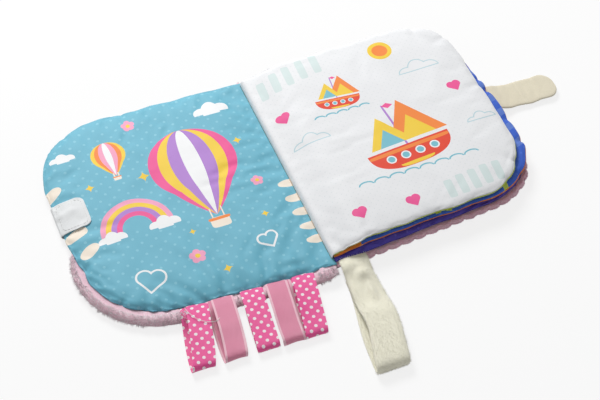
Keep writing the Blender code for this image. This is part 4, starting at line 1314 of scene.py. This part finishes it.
COVERS = (
    # solid, side, body, lining, scallop depth, how much fuller its edge stands, and the places up the
    # page from where and to where that edge goes out of sight
    ("front_cover_plush", -1, "front_cover", "front_cover_lining", 0.8, 2.8, -32, 2),
    ("back_cover_plush", 1, "back_cover", "back_cover_lining", 2.6, 0.8, -70, -40),
)
furry = {}
for name, side, body, *shape in COVERS:
    points, faces, open_air = plush_cover(name, side, *shape)
    furry[name] = (points, faces[open_air[faces].all(axis=1)], body)
    piece = new_piece(name + "_panel", points, faces, dimple_plush)
    wall = piece.modifiers.new("thickness", "SOLIDIFY")
    wall.thickness, wall.offset = PLUSH_CLOTH * MM, -1.0
    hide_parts(name)
    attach(piece, body)
    print(piece.name, len(points), "points, lowest", round(float(points[:, 2].min()) / MM, 2), "mm")

# %% [markdown]
# ## Spine
# The same plush runs across the spine and joins the covers. It is a strip on an arc round the fold line,
# with its sides tucked into the covers. It rides on neither cover and stays fixed where it lies.

# %% Spine strip
SPINE_HALF, SPINE_FLAT, SPINE_STRIP_CLOTH = 9.2, 6.7, 1.5
radius = FOLD.z / MM
x = np.linspace(-SPINE_HALF, SPINE_HALF, 15)[None, :] * np.ones((110, 1))
y = np.linspace(-93.4, 95.4, 110)[:, None] * np.ones((1, 15))
bent = np.minimum(np.abs(x), SPINE_FLAT)
up = radius - np.sqrt(radius**2 - bent**2) + (np.abs(x) - bent) * SPINE_FLAT / radius
up = up + DIMPLE_DEPTH * 0.6 * (1 - dimple(x, y))
points = np.stack([FOLD.x + x * MM, y * MM, up * MM], -1).reshape(-1, 3)
index = np.arange(len(points)).reshape(x.shape)
spine = new_piece("spine_plush_strip", points, grid_faces(index, True), dimple_plush)
wall = spine.modifiers.new("thickness", "SOLIDIFY")
wall.thickness, wall.offset = SPINE_STRIP_CLOTH * MM, -1.0
soften(spine)
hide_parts("spine_panel")
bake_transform(spine)
print("spine strip", len(points), "points")

# %% [markdown]
# ## Ribbons, strap and tab
# These are flat bands that follow a path. One function sweeps a rounded flat section along the path
# and gives it a UV map: across the band, and along it. A path is written as how far out from the
# seam and how high each point lies, in mm, then smoothed.

# %% A flat band along a path
SECTION_STEPS = 9


def smooth_path(points, count, rounds=12):
    """Evenly spaced points along a path, with its corners rounded."""
    path = even(np.array(points, dtype=float), count)
    for _ in range(rounds):
        path[1:-1] = (path[:-2] + 2 * path[1:-1] + path[2:]) / 4
    return path


def half_circle(centre_out, centre_up, radius, steps=10):
    """Points of a band's round turn, from its upper run to its lower one."""
    angles = np.linspace(math.pi / 2, -math.pi / 2, steps)
    return [(centre_out + radius * math.cos(a), centre_up + radius * math.sin(a)) for a in angles]


def flat_section(width, thickness, round_share):
    """Points (across, up) round a flat band's section; the sides are rounded."""
    half = width / 2
    turn = thickness * round_share
    across = np.linspace(-half + turn, half - turn, SECTION_STEPS)
    angles = np.linspace(math.pi / 2, -math.pi / 2, 5)[1:-1]
    side = [(half - turn + turn * math.cos(a), thickness / 2 * math.sin(a)) for a in angles]
    top = [(a, thickness / 2) for a in across]
    low = [(a, -thickness / 2) for a in across[::-1]]
    return top + side + low + [(-a, b) for a, b in side[::-1]]


def band(name, centres, acrosses, widths, thickness, material, lift=None, round_share=0.5):
    """A closed band through centres in mm; lift adds height from (share along, share across)."""
    centres = np.asarray(centres, dtype=float)
    thickness = np.broadcast_to(thickness, len(centres))
    ways = np.gradient(centres, axis=0)
    ways /= np.linalg.norm(ways, axis=1)[:, None]
    travel = np.r_[0, np.cumsum(np.linalg.norm(np.diff(centres, axis=0), axis=1))]
    points, uv = [], []
    for k, centre in enumerate(centres):
        across = acrosses[k] - ways[k] * np.dot(acrosses[k], ways[k])
        across /= np.linalg.norm(across)
        up = np.cross(across, ways[k])
        for a, b in flat_section(widths[k], thickness[k], round_share):
            extra = lift(k / (len(centres) - 1), 2 * a / widths[k]) if lift else 0.0
            points.append(centre + across * a + up * (b + extra))
            uv.append((a * MM, travel[k] * MM))
    size = len(points) // len(centres)
    index = np.arange(len(points)).reshape(len(centres), size)
    closed = np.concatenate([index, index[:, :1]], axis=1)
    faces = [tuple(f) for f in grid_faces(closed, False)]
    faces += [tuple(index[0]), tuple(index[-1][::-1])]
    piece = new_piece(name, np.array(points) * MM, faces, material, uv)
    shell = bmesh.new()
    shell.from_mesh(piece.data)
    bmesh.ops.recalc_face_normals(shell, faces=shell.faces)
    shell.to_mesh(piece.data)
    shell.free()
    return piece


def in_book(x, y, z):
    """A point in mm in the row frame, from fold coordinates."""
    return (FOLD.x / MM + x, y, z)


# %% [markdown]
# ### Satin ribbon loops
# Five 16 mm satin ribbons, each folded double and sewn into the lower seam: three with white dots and
# two plain with pale edges. The upper leg leaves the seam, the loop turns a few millimetres above the
# table, and the lower leg comes back beneath. On some loops the lower leg has slipped sideways.

# %% Ribbon loops
RIBBON_WIDTH, RIBBON_THICK, RIBBON_LENGTH = 16.0, 0.45, 50.0
RIBBON_UPPER = [(-1.5, 5.7), (1.5, 6.5), (4.5, 7.3), (9.0, 7.7), (13.5, 7.6), (33.0, 6.9)]
RIBBON_LOWER = [(33.0, 0.35), (20.0, 0.7), (13.5, 2.6), (7.9, 5.6), (4.5, 6.6), (1.5, 6.0), (-1.5, 5.2)]
RIBBONS = (
    # place from the fold, lean, slip of the lower leg, height of the loop, bulge between seam and loop
    (102.6, 11.0, -4.2, 6.8, 0.5),
    (84.5, 6.0, -3.6, 6.8, 1.2),
    (63.5, 5.5, 0.6, 6.6, 0.4),
    (45.0, 6.7, 2.6, 6.8, 0.9),
    (25.3, 8.8, -0.8, 6.7, 0.6),
)


def ribbon_route(height, bulge):
    """(out, up) of a ribbon from the seam, round the loop and back."""
    radius = (height - 0.7) / 2
    turn = half_circle(RIBBON_LENGTH - radius - 0.35, height / 2, radius)
    upper = [(o, u + bulge * math.exp(-(((o - 24) / 9) ** 2))) for o, u in RIBBON_UPPER[:-1]]
    upper += [(24.0, 7.2 + bulge * 0.8), (33.0, height)]
    return smooth_path(upper + turn + RIBBON_LOWER, 90, 8)


for number, (place, lean, slip, height, bulge) in enumerate(RIBBONS, start=1):
    name = "ribbon_loop_%d" % number
    seam = joint_of[name + "_lift"]["pos_m"][1] / MM
    route = ribbon_route(height, bulge)
    share = np.linspace(0, 1, len(route))
    moved = slip * (1 / (1 + np.exp(-(share - 0.5) * 16)))
    drift = lean * route[:, 0] / RIBBON_LENGTH
    centres = [in_book(-place - d + m, seam - o, u) for (o, u), d, m in zip(route, drift, moved)]

    def cupped(along, across, number=number):
        """The ribbon's soft cup and ripple across its width."""
        free = math.sin(math.pi * min(max(along, 0.0), 1.0)) ** 0.5
        ripple = noise.noise(Vector((along * 5, across * 0.9, number * 3.1)))
        return free * (0.35 * ripple - 0.22 * across * across)

    dotted = number % 2 == 1
    piece = band(
        name + "_satin",
        centres,
        [np.array([1.0, 0.0, 0.0])] * len(route),
        [RIBBON_WIDTH] * len(route),
        RIBBON_THICK,
        dotted_satin if dotted else plain_satin,
        cupped,
    )
    soften(piece)
    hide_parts(name)
    length = float(np.linalg.norm(np.diff(route, axis=0), axis=1).sum())
    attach(piece, name)
    print(name, "flat length", round(length, 1), "mm")

# %% [markdown]
# A loose end of sewing thread lies over the first ribbon: a thin tube along a smooth curve, made with a
# curve object and turned into a mesh.

# %% Loose thread
THREAD_RADIUS = 0.22
THREAD_ROUTE = [
    (-111.5, -89.5, 7.6), (-110.5, -96.0, 9.2), (-106.5, -103.5, 9.0), (-100.5, -108.0, 8.9),
    (-94.5, -109.5, 8.6), (-92.0, -107.0, 8.2)
]
curve = bpy.data.curves.new("loose thread", "CURVE")
curve.dimensions, curve.bevel_depth, curve.bevel_resolution = "3D", THREAD_RADIUS * MM, 2
line = curve.splines.new("POLY")
course = smooth_path(THREAD_ROUTE, 40, 8)
line.points.add(len(course) - 1)
for point, place in zip(line.points, course):
    point.co = (*Vector(in_book(*place)) * MM, 1.0)
guide = bpy.data.objects.new("loose thread", curve)
bpy.context.collection.objects.link(guide)
thread_mesh = bpy.data.meshes.new_from_object(guide.evaluated_get(bpy.context.evaluated_depsgraph_get()))
bpy.data.objects.remove(guide)
loose = bpy.data.objects.new("ribbon_loop_1_loose_thread", thread_mesh)
bpy.context.collection.objects.link(loose)
thread_mesh.materials.append(thread_white)
thread_mesh.polygons.foreach_set("use_smooth", [True] * len(thread_mesh.polygons))
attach(loose, "ribbon_loop_1")
print("thread", len(course), "points")

# %% [markdown]
# ### Fleece strap
# One long band of cream fleece, sewn into the back cover's lower seam and folded back under itself as an
# open loop for a pram bar. A hook pad and a loop pad between its layers hold it shut, and their box
# stitching pulls dents into the fleece.

# %% Pram strap and its pads
FLEECE_THICK = 1.8
STRAP_LENGTH, STRAP_MIDDLE = 99.0, 13.0
PAD_LEAN, PAD_WIDTH = 5.5, 16.0
STRAP_ROUTE = [
    (-1.0, 7.2), (2.0, 7.9), (5.8, 8.0), (14.7, 5.7), (27.0, 5.6), (39.3, 5.7), (49.0, 8.7), (59.0, 9.1),
    (80.0, 9.1)
]
STRAP_ROUTE += half_circle(91.5, 5.0, 4.1) + [(80.0, 0.9), (59.0, 0.9), (39.0, 0.9), (13.2, 0.9)]
route = smooth_path(STRAP_ROUTE, 110, 6)
seam = joint_of["pram_strap_lift"]["pos_m"][1] / MM
share = np.linspace(0, 1, len(route))
turned = smooth_step(share, 0.30, 0.56) - smooth_step(share, 0.66, 0.98)
slid = -3.6 * route[:, 0] / STRAP_LENGTH - 6.8 * turned
centres = [in_book(STRAP_MIDDLE + s, seam - o, u) for (o, u), s in zip(route, slid)]
widths = 21.3 + 1.0 * route[:, 0] / STRAP_LENGTH + 2.6 * np.exp(-(((share - 0.5) / 0.12) ** 2))
widths += 2.8 * np.exp(-(((share - 0.24) / 0.13) ** 2))
outer = smooth_step(share, 0.02, 0.1) * (1 - smooth_step(share, 0.5, 0.6))
puffed = outer * (1.5 - 0.45 * smooth_step(share, 0.2, 0.32))
thick = FLEECE_THICK + 2 * puffed


STRAP_DENTS = (
    # share along, share across, depth in mm, length share, width share
    (0.092, 0.16, 3.0, 0.024, 0.38),
    (0.185, 0.22, 2.8, 0.044, 0.20),
    (0.045, -0.45, 1.0, 0.020, 0.30),
)


def strap_dents(along, across):
    """Dents at the stitched pads and a slow ripple in the fleece."""
    ripple = noise.noise(Vector((along * 9, across * 0.8, 4.0)))
    dents = 0.0
    for middle, side, depth, length, width in STRAP_DENTS:
        dents += depth * math.exp(-(((along - middle) / length) ** 2) - ((across - side) / width) ** 2)
    return ripple * 0.5 - dents + float(np.interp(along, share, puffed))


strap = band(
    "pram_strap_fleece",
    centres,
    [np.array([1.0, 0.0, 0.0])] * len(route),
    widths,
    thick,
    cream_fleece,
    strap_dents,
    1.0,
)
soften(strap)
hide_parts("pram_strap")
length = float(np.linalg.norm(np.diff(route, axis=0), axis=1).sum())
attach(strap, "pram_strap")
for node, height in (("pram_strap_hook_pad", 2.6), ("pram_strap_loop_pad", 3.9)):
    outs = np.linspace(15.3, 38.7, 14)
    pad = band(
        node + "_tape",
        [in_book(STRAP_MIDDLE - PAD_LEAN * o / STRAP_LENGTH, seam - o, height) for o in outs],
        [np.array([1.0, 0.0, 0.0])] * len(outs),
        [PAD_WIDTH] * len(outs),
        0.9,
        hook_tape,
    )
    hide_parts(node)
    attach(pad, "pram_strap")
print("strap flat length", round(length, 1), "mm")

# %% [markdown]
# ### Closure tab
# A short tab of the same fleece, sewn into the back cover's fore-edge. On the closed book it climbs
# the edge and lies on the front cover, so it is two pieces that meet at the bend: the base rides on its
# own body from the seam, and the tip stays fixed where it lies.

# %% Closure tab
TAB_MIDDLE, TAB_WIDTH, TAB_END, TAB_CORNER = 9.5, 25.0, 227.0, 10.0
TAB_ROUTE = [
    (166.5, 6.4), (171.5, 6.7), (175.7, 6.6), (180.1, 5.0), (183.7, 3.65), (187.3, 3.2), (227.0, 3.2)
]
tab_fold = (joint_of["closure_tab_fold"]["pos_m"][0] - FOLD.x) / MM
route = smooth_path(TAB_ROUTE, 90, 10)
route = np.array([(o, u) for o, u in route if o < TAB_END - TAB_CORNER])
ends = [(TAB_END - TAB_CORNER + TAB_CORNER * math.sin(a), 3.2) for a in np.radians(np.linspace(0, 86, 10))]
route = np.concatenate([route[:-1], ends])
past = np.clip((route[:, 0] - (TAB_END - TAB_CORNER)) / TAB_CORNER, 0, 1)
widths = TAB_WIDTH - 2 * TAB_CORNER * (1 - np.sqrt(1 - past**2)) + 0.7 * np.sin(route[:, 0] * 0.32)


def tab_ripple(out):
    """The tab's slight wave along its length, in mm."""
    return 0.35 * math.sin(out * 0.21) * min(max((out - 178) / 20, 0), 1)


for name, keep in (
    ("closure_tab_base", route[:, 0] <= tab_fold + 0.3),
    ("closure_tab_tip", route[:, 0] >= tab_fold - 0.6),
):
    part = route[keep]
    centres = [in_book(o, TAB_MIDDLE + 0.9 * math.sin(o * 0.05), u + tab_ripple(o)) for o, u in part]
    piece = band(
        name + "_fleece",
        centres,
        [np.array([0.0, 1.0, 0.0])] * len(part),
        widths[keep],
        FLEECE_THICK,
        pressed_fleece,
        lambda along, across: 0.3 * noise.noise(Vector((along * 7, across * 1.5, 9.0))),
        1.0,
    )
    soften(piece)
    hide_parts(name)
    size = (TAB_WIDTH * MM, float(np.ptp(part[:, 0])) * MM)
    if name == "closure_tab_base":
        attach(piece, name)
    else:
        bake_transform(piece)
print("tab bends", round(tab_fold, 1), "mm from the fold line")

# %% [markdown]
# ### Hook patch
# A square of white hook tape with rounded corners lies on the teal page at its fore-edge and folds round
# the edge to the back, where the tab grips it. It follows the page underneath, a little above it.

# %% Hook patch
PATCH_IN, PATCH_MIDDLE, PATCH_HALF, PATCH_THICK = 147.5, 17.5, 13.8, 0.6
lining = page_surface("front_cover_lining", "front_cover_lining")


def on_page(d, y):
    """Height of the teal page at (d, y) in mm, or None beyond its edge."""
    return height_on(lining, d, y)


edge_d = max(d for d in np.linspace(150, 173, 93) if on_page(d, PATCH_MIDDLE) is not None)
rows = []
outs = np.linspace(0, 1, 26)
for v in np.linspace(-1, 1, 25):
    row = []
    for u in outs:
        d = PATCH_IN + (edge_d + 0.4 - PATCH_IN) * u**0.8
        y = PATCH_MIDDLE + PATCH_HALF * v
        up = on_page(min(d, edge_d - 0.6), y)
        up = (up if up is not None else 6.0) + 0.35 + PATCH_THICK
        row.append((d, y, up))
    rows.append(row)
rows = np.array(rows)
inner_corner = 5.0
for i in range(rows.shape[0]):
    v = abs(rows[i, 0, 1] - PATCH_MIDDLE)
    over = max(v - (PATCH_HALF - inner_corner), 0)
    cut = inner_corner - math.sqrt(max(inner_corner**2 - over**2, 0))
    rows[i, :, 0] = rows[i, :, 0] + cut * (1 - outs)
PATCH_WRAP = (
    (1.1, 5.3), (1.2, 4.2), (0.6, 2.9), (-0.8, 1.8), (-2.6, 1.1), (-5.0, 0.7), (-9.0, 0.62), (-16.0, 0.62)
)
extra = []
for out, up in PATCH_WRAP:
    run = rows[:, -1].copy()
    run[:, 0], run[:, 2] = edge_d + out, up
    extra.append(run)
sheet_points = np.concatenate([rows, np.stack(extra, 1)], axis=1)
travel = np.cumsum(np.r_[0, np.linalg.norm(np.diff(sheet_points[12], axis=0), axis=1)])
uv = np.stack(
    [np.broadcast_to(travel, sheet_points.shape[:2]), sheet_points[..., 1]], -1
).reshape(-1, 2) * MM
flat_points = sheet_points.reshape(-1, 3)
world = np.array([in_book(-d, y, z) for d, y, z in flat_points]) * MM
index = np.arange(len(world)).reshape(sheet_points.shape[:2])
patch = new_piece("hook_patch_tape", world, grid_faces(index, True), hook_tape, uv)
thicken(patch, PATCH_THICK)
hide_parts("hook_patch")
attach(patch, "front_cover")
print("patch top", round(float(flat_points[:, 2].max()), 2), "mm, edge at", round(float(edge_d), 1))

# %% [markdown]
# ## Stitching
# Thread shows where the hook patch is sewn flat, in a square a little inside its edge. A stitch repeats
# along a path, so Geometry Nodes make it: the path becomes a curve, is cut into even steps, and a small
# capsule of thread lies along the curve at each step. The inputs are named, and
# the result is turned into a plain mesh for each body.

# %% Node tree: running stitch
def stitch_tree():
    """Geometry Nodes tree that lays stitches along the edges of a mesh."""
    tree = bpy.data.node_groups.new("running stitch", "GeometryNodeTree")
    tree.interface.new_socket("Path", in_out="INPUT", socket_type="NodeSocketGeometry")
    for name in ("Step", "Stitch length", "Thread radius"):
        tree.interface.new_socket(name, in_out="INPUT", socket_type="NodeSocketFloat")
    tree.interface.new_socket("Thread", in_out="INPUT", socket_type="NodeSocketMaterial")
    tree.interface.new_socket("Stitches", in_out="OUTPUT", socket_type="NodeSocketGeometry")
    given = add(tree, "NodeGroupInput").outputs
    curve = add(tree, "GeometryNodeMeshToCurve", {"Mesh": given["Path"]})
    steps = add(
        tree, "GeometryNodeResampleCurve", {"Curve": curve.outputs[0], "Length": given["Step"]},
        mode="LENGTH"
    )
    tangent = add(tree, "GeometryNodeInputTangent")
    turn = add(tree, "FunctionNodeAlignRotationToVector", {"Vector": tangent.outputs[0]}, axis="X")
    bead = add(tree, "GeometryNodeMeshUVSphere", {"Segments": 8, "Rings": 6, "Radius": 1.0})
    half = add(tree, "ShaderNodeMath", {0: given["Stitch length"], 1: 0.5}, operation="MULTIPLY")
    size = add(
        tree,
        "ShaderNodeCombineXYZ",
        {"X": half.outputs[0], "Y": given["Thread radius"], "Z": given["Thread radius"]},
    )
    laid = add(
        tree,
        "GeometryNodeInstanceOnPoints",
        {
            "Points": steps.outputs[0], "Instance": bead.outputs[0], "Rotation": turn.outputs[0],
            "Scale": size.outputs[0]
        },
    )
    real = add(tree, "GeometryNodeRealizeInstances", {"Geometry": laid.outputs[0]})
    made = add(tree, "GeometryNodeSetMaterial", {"Geometry": real.outputs[0], "Material": given["Thread"]})
    add(tree, "NodeGroupOutput", {0: made.outputs[0]})
    return tree


STITCH = stitch_tree()


def grown(name, guide, tree, values):
    """The plain mesh object that a Geometry Nodes tree makes from a guide object, which is removed."""
    modifier = guide.modifiers.new("grown", "NODES")
    modifier.node_group = tree
    for item in tree.interface.items_tree:
        if item.in_out == "INPUT" and item.name in values:
            modifier[item.identifier] = values[item.name]
    graph = bpy.context.evaluated_depsgraph_get()
    result = bpy.data.meshes.new_from_object(
        guide.evaluated_get(graph), preserve_all_data_layers=True, depsgraph=graph
    )
    bpy.data.objects.remove(guide)
    result.polygons.foreach_set("use_smooth", [True] * len(result.polygons))
    piece = bpy.data.objects.new(name, result)
    bpy.context.collection.objects.link(piece)
    return piece


def stitches(name, path, body, thread, step=2.4, length=1.9, radius=0.22):
    """A row of stitches along points in mm, made a plain mesh that rides on a body."""
    mesh = bpy.data.meshes.new(name + " path")
    mesh.from_pydata([Vector(p) * MM for p in path], [(k, k + 1) for k in range(len(path) - 1)], [])
    guide = bpy.data.objects.new(name + " path", mesh)
    bpy.context.collection.objects.link(guide)
    values = {"Step": step * MM, "Stitch length": length * MM, "Thread radius": radius * MM, "Thread": thread}
    piece = grown(name, guide, STITCH, values)
    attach(piece, body)
    return piece


# %% Stitched borders
def box_path(middle, half, corner, steps=6):
    """Corners-rounded rectangle as (a, b) points, closed."""
    points = []
    for k, (sa, sb) in enumerate(((1, 1), (-1, 1), (-1, -1), (1, -1))):
        for s in range(steps):
            angle = math.radians(90 * k + 90 * s / (steps - 1))
            points.append(
                (
                    middle[0] + sa * (half[0] - corner) + corner * math.cos(angle),
                    middle[1] + sb * (half[1] - corner) + corner * math.sin(angle),
                )
            )
    return points + points[:1]


patch_path = []
for d, y in box_path(
    ((PATCH_IN + edge_d) / 2 + 0.2, PATCH_MIDDLE), ((edge_d - PATCH_IN) / 2 - 2.2, PATCH_HALF - 2.4), 3.2
):
    patch_path.append(in_book(-d, y, (on_page(d, y) or 6.0) + 0.35 + PATCH_THICK + 0.08))
sewn = [stitches("hook_patch_stitches", even(np.array(patch_path), 120), "front_cover", thread_white)]
print("stitched rows", [(piece.name, len(piece.data.polygons)) for piece in sewn])

# %% [markdown]
# ## Pile
# Plush and fleece have a soft outline because fibres stand off the cloth. Geometry Nodes scatter short
# tapered fibres over a piece: points on its faces, a three-sided cone on each, turned along the face's
# normal with a random lean, then realised. Real pile is far denser and finer, so the fibres are drawn
# thicker and fewer, only where the edge shows.

# %% Node tree: pile
def pile_tree():
    """Geometry Nodes tree that scatters fibres over a surface."""
    tree = bpy.data.node_groups.new("pile", "GeometryNodeTree")
    tree.interface.new_socket("Surface", in_out="INPUT", socket_type="NodeSocketGeometry")
    for name in ("Density", "Fibre length", "Fibre radius", "Lean"):
        tree.interface.new_socket(name, in_out="INPUT", socket_type="NodeSocketFloat")
    tree.interface.new_socket("Fibre", in_out="INPUT", socket_type="NodeSocketMaterial")
    tree.interface.new_socket("Pile", in_out="OUTPUT", socket_type="NodeSocketGeometry")
    given = add(tree, "NodeGroupInput").outputs
    spots = add(
        tree,
        "GeometryNodeDistributePointsOnFaces",
        {"Mesh": given["Surface"], "Density": given["Density"], "Seed": 4},
    )
    place = add(tree, "GeometryNodeInputPosition")
    tufts = add(tree, "ShaderNodeTexNoise", {"Vector": place.outputs[0], "Scale": 330.0, "Detail": 2.0})
    middle = add(
        tree, "ShaderNodeVectorMath", {0: tufts.outputs["Color"], 1: (0.5, 0.5, 0.5)}, operation="SUBTRACT"
    )
    leaned = add(
        tree, "ShaderNodeVectorMath", {0: middle.outputs[0], "Scale": given["Lean"]}, operation="SCALE"
    )
    way = add(
        tree, "ShaderNodeVectorMath", {0: spots.outputs["Normal"], 1: leaned.outputs[0]}, operation="ADD"
    )
    turn = add(tree, "FunctionNodeAlignRotationToVector", {"Vector": way.outputs[0]}, axis="Z")
    fibre = add(
        tree,
        "GeometryNodeMeshCone",
        {
            "Vertices": 3, "Radius Top": 0.0, "Radius Bottom": given["Fibre radius"],
            "Depth": given["Fibre length"]
        },
        fill_type="NONE",
    )
    size = add(tree, "FunctionNodeRandomValue", {"Seed": 9}, data_type="FLOAT")
    size.inputs[2].default_value, size.inputs[3].default_value = 0.6, 1.2
    laid = add(
        tree,
        "GeometryNodeInstanceOnPoints",
        {
            "Points": spots.outputs[0], "Instance": fibre.outputs[0], "Rotation": turn.outputs[0],
            "Scale": size.outputs[1]
        },
    )
    real = add(tree, "GeometryNodeRealizeInstances", {"Geometry": laid.outputs[0]})
    made = add(tree, "GeometryNodeSetMaterial", {"Geometry": real.outputs[0], "Material": given["Fibre"]})
    add(tree, "NodeGroupOutput", {0: made.outputs[0]})
    return tree


PILE = pile_tree()


# %% Pile of the front border, the back border and the strap
def pile_on(name, guide, material, density, length, radius, lean):
    """Fibres on a guide object, but not where they would reach the table. Density is in fibres per
    square mm, and lengths are in mm."""
    shell = bmesh.new()
    shell.from_mesh(guide.data)
    low = [f for f in shell.faces if f.calc_center_median().z < 1.1 * length * MM]
    bmesh.ops.delete(shell, geom=low, context="FACES")
    shell.to_mesh(guide.data)
    shell.free()
    values = {
        "Density": density / MM**2,
        "Fibre length": length * MM,
        "Fibre radius": radius * MM,
        "Lean": lean,
        "Fibre": material,
    }
    piece = grown(name, guide, PILE, values)
    print(name, len(piece.data.polygons) // 3, "fibres")
    return piece


for name, (points, faces, body) in furry.items():
    if body == "front_cover":
        middle = points[faces].mean(axis=1) / MM
        distance = FOLD.x / MM - middle[:, 0]
        pressed = np.zeros(len(faces), dtype=bool)
        for place, *_ in RIBBONS:
            pressed |= (np.abs(distance - place) < RIBBON_WIDTH / 2 + 1.5) & (middle[:, 1] < -70)
        pressed |= (distance > 140) & (np.abs(middle[:, 1] - 13.5) < 20)
        faces = faces[~pressed]
    guide = new_piece(name + " border", points, faces, dimple_plush)
    long_pile = body == "front_cover"
    # the back border's pink tips carry painted light for its shaded scallops
    tips, density, length = (pale_pile, 2.6, 2.1) if long_pile else (pink_pile_brightened, 3.0, 0.7)
    border = pile_on(name + "_pile", guide, tips, density, length, 0.2, 4.0)
    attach(border, body)
for source, body in ((strap, "pram_strap"),):
    guide = bpy.data.objects.new(source.name + " guide", source.data.copy())
    bpy.context.collection.objects.link(guide)
    fluff = pile_on(body + "_pile", guide, cream_fleece, 1.5, 0.9, 0.14, 3.5)
    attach(fluff, body)

# %% [markdown]
# ## Light and floor
# The photograph is a plain product shot: soft light from above and behind, bright fill all round, a pure
# white ground. One large soft lamp gives the shading, and the world gives the fill. Rays from the camera
# see white instead of the fill. The floor is pale, and for the camera it is mostly its own white,
# so the object's shadow stays but faint.

# %% World, lamp and floor
FILL, KEY_POWER, KEY_SIZE = 0.35, 18.5, 0.6
FLOOR_WHITE_SHARE = 0.8


def ray_kind(tree):
    """1 for rays from the camera, and for those seen in gloss or glass."""
    path = add(tree, "ShaderNodeLightPath")
    first = add(
        tree, "ShaderNodeMath", {0: path.outputs["Is Camera Ray"], 1: path.outputs["Is Glossy Ray"]},
        operation="ADD"
    )
    return add(
        tree, "ShaderNodeMath", {
            0: first.outputs[0], 1: path.outputs["Is Transmission Ray"]
        }, operation="ADD", use_clamp=True
    ).outputs[0]


world = bpy.data.worlds.new("studio")
world.use_nodes = True
bpy.context.scene.world = world
world.node_tree.nodes.clear()
fill = add(world.node_tree, "ShaderNodeBackground", {"Color": shade_of("#ffffff"), "Strength": FILL})
white = add(world.node_tree, "ShaderNodeBackground", {"Color": shade_of("#ffffff"), "Strength": 1.0})
seen = add(
    world.node_tree, "ShaderNodeMixShader", {
        0: ray_kind(world.node_tree), 1: fill.outputs[0], 2: white.outputs[0]
    }
)
add(world.node_tree, "ShaderNodeOutputWorld", {"Surface": seen.outputs[0]})

lamp = bpy.data.lights.new("soft box", "AREA")
lamp.shape, lamp.size, lamp.energy = "DISK", KEY_SIZE, KEY_POWER
key = bpy.data.objects.new("soft box", lamp)
bpy.context.collection.objects.link(key)
key.location = AIM + Vector((-0.05, 1.05, 1.0))
key.rotation_mode = "QUATERNION"
key.rotation_quaternion = (AIM - key.location).to_track_quat("-Z", "Y")

paper, paper_tree = new_material("backdrop paper, white")
matt = add(paper_tree, "ShaderNodeBsdfDiffuse", {"Color": shade_of("#f4f4f4")})
glow = add(paper_tree, "ShaderNodeEmission", {"Color": shade_of("#ffffff"), "Strength": 1.0})
share = add(
    paper_tree, "ShaderNodeMath", {0: ray_kind(paper_tree), 1: FLOOR_WHITE_SHARE}, operation="MULTIPLY"
)
mixed = add(paper_tree, "ShaderNodeMixShader", {0: share.outputs[0], 1: matt.outputs[0], 2: glow.outputs[0]})
add(paper_tree, "ShaderNodeOutputMaterial", {"Surface": mixed.outputs[0]})
FLOOR_HALF = 3.0
corners = [
    (-FLOOR_HALF, -FLOOR_HALF, 0), (FLOOR_HALF, -FLOOR_HALF, 0), (FLOOR_HALF, FLOOR_HALF, 0),
    (-FLOOR_HALF, FLOOR_HALF, 0)
]
floor = new_piece("floor", corners, [(0, 1, 2, 3)], paper)
floor.location.z = -0.05 * MM
floor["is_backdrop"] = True
print("lamp", lamp.energy, "W, fill", FILL)

# %% Finish
bpy.context.scene.view_settings.view_transform = "Standard"
low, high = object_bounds()
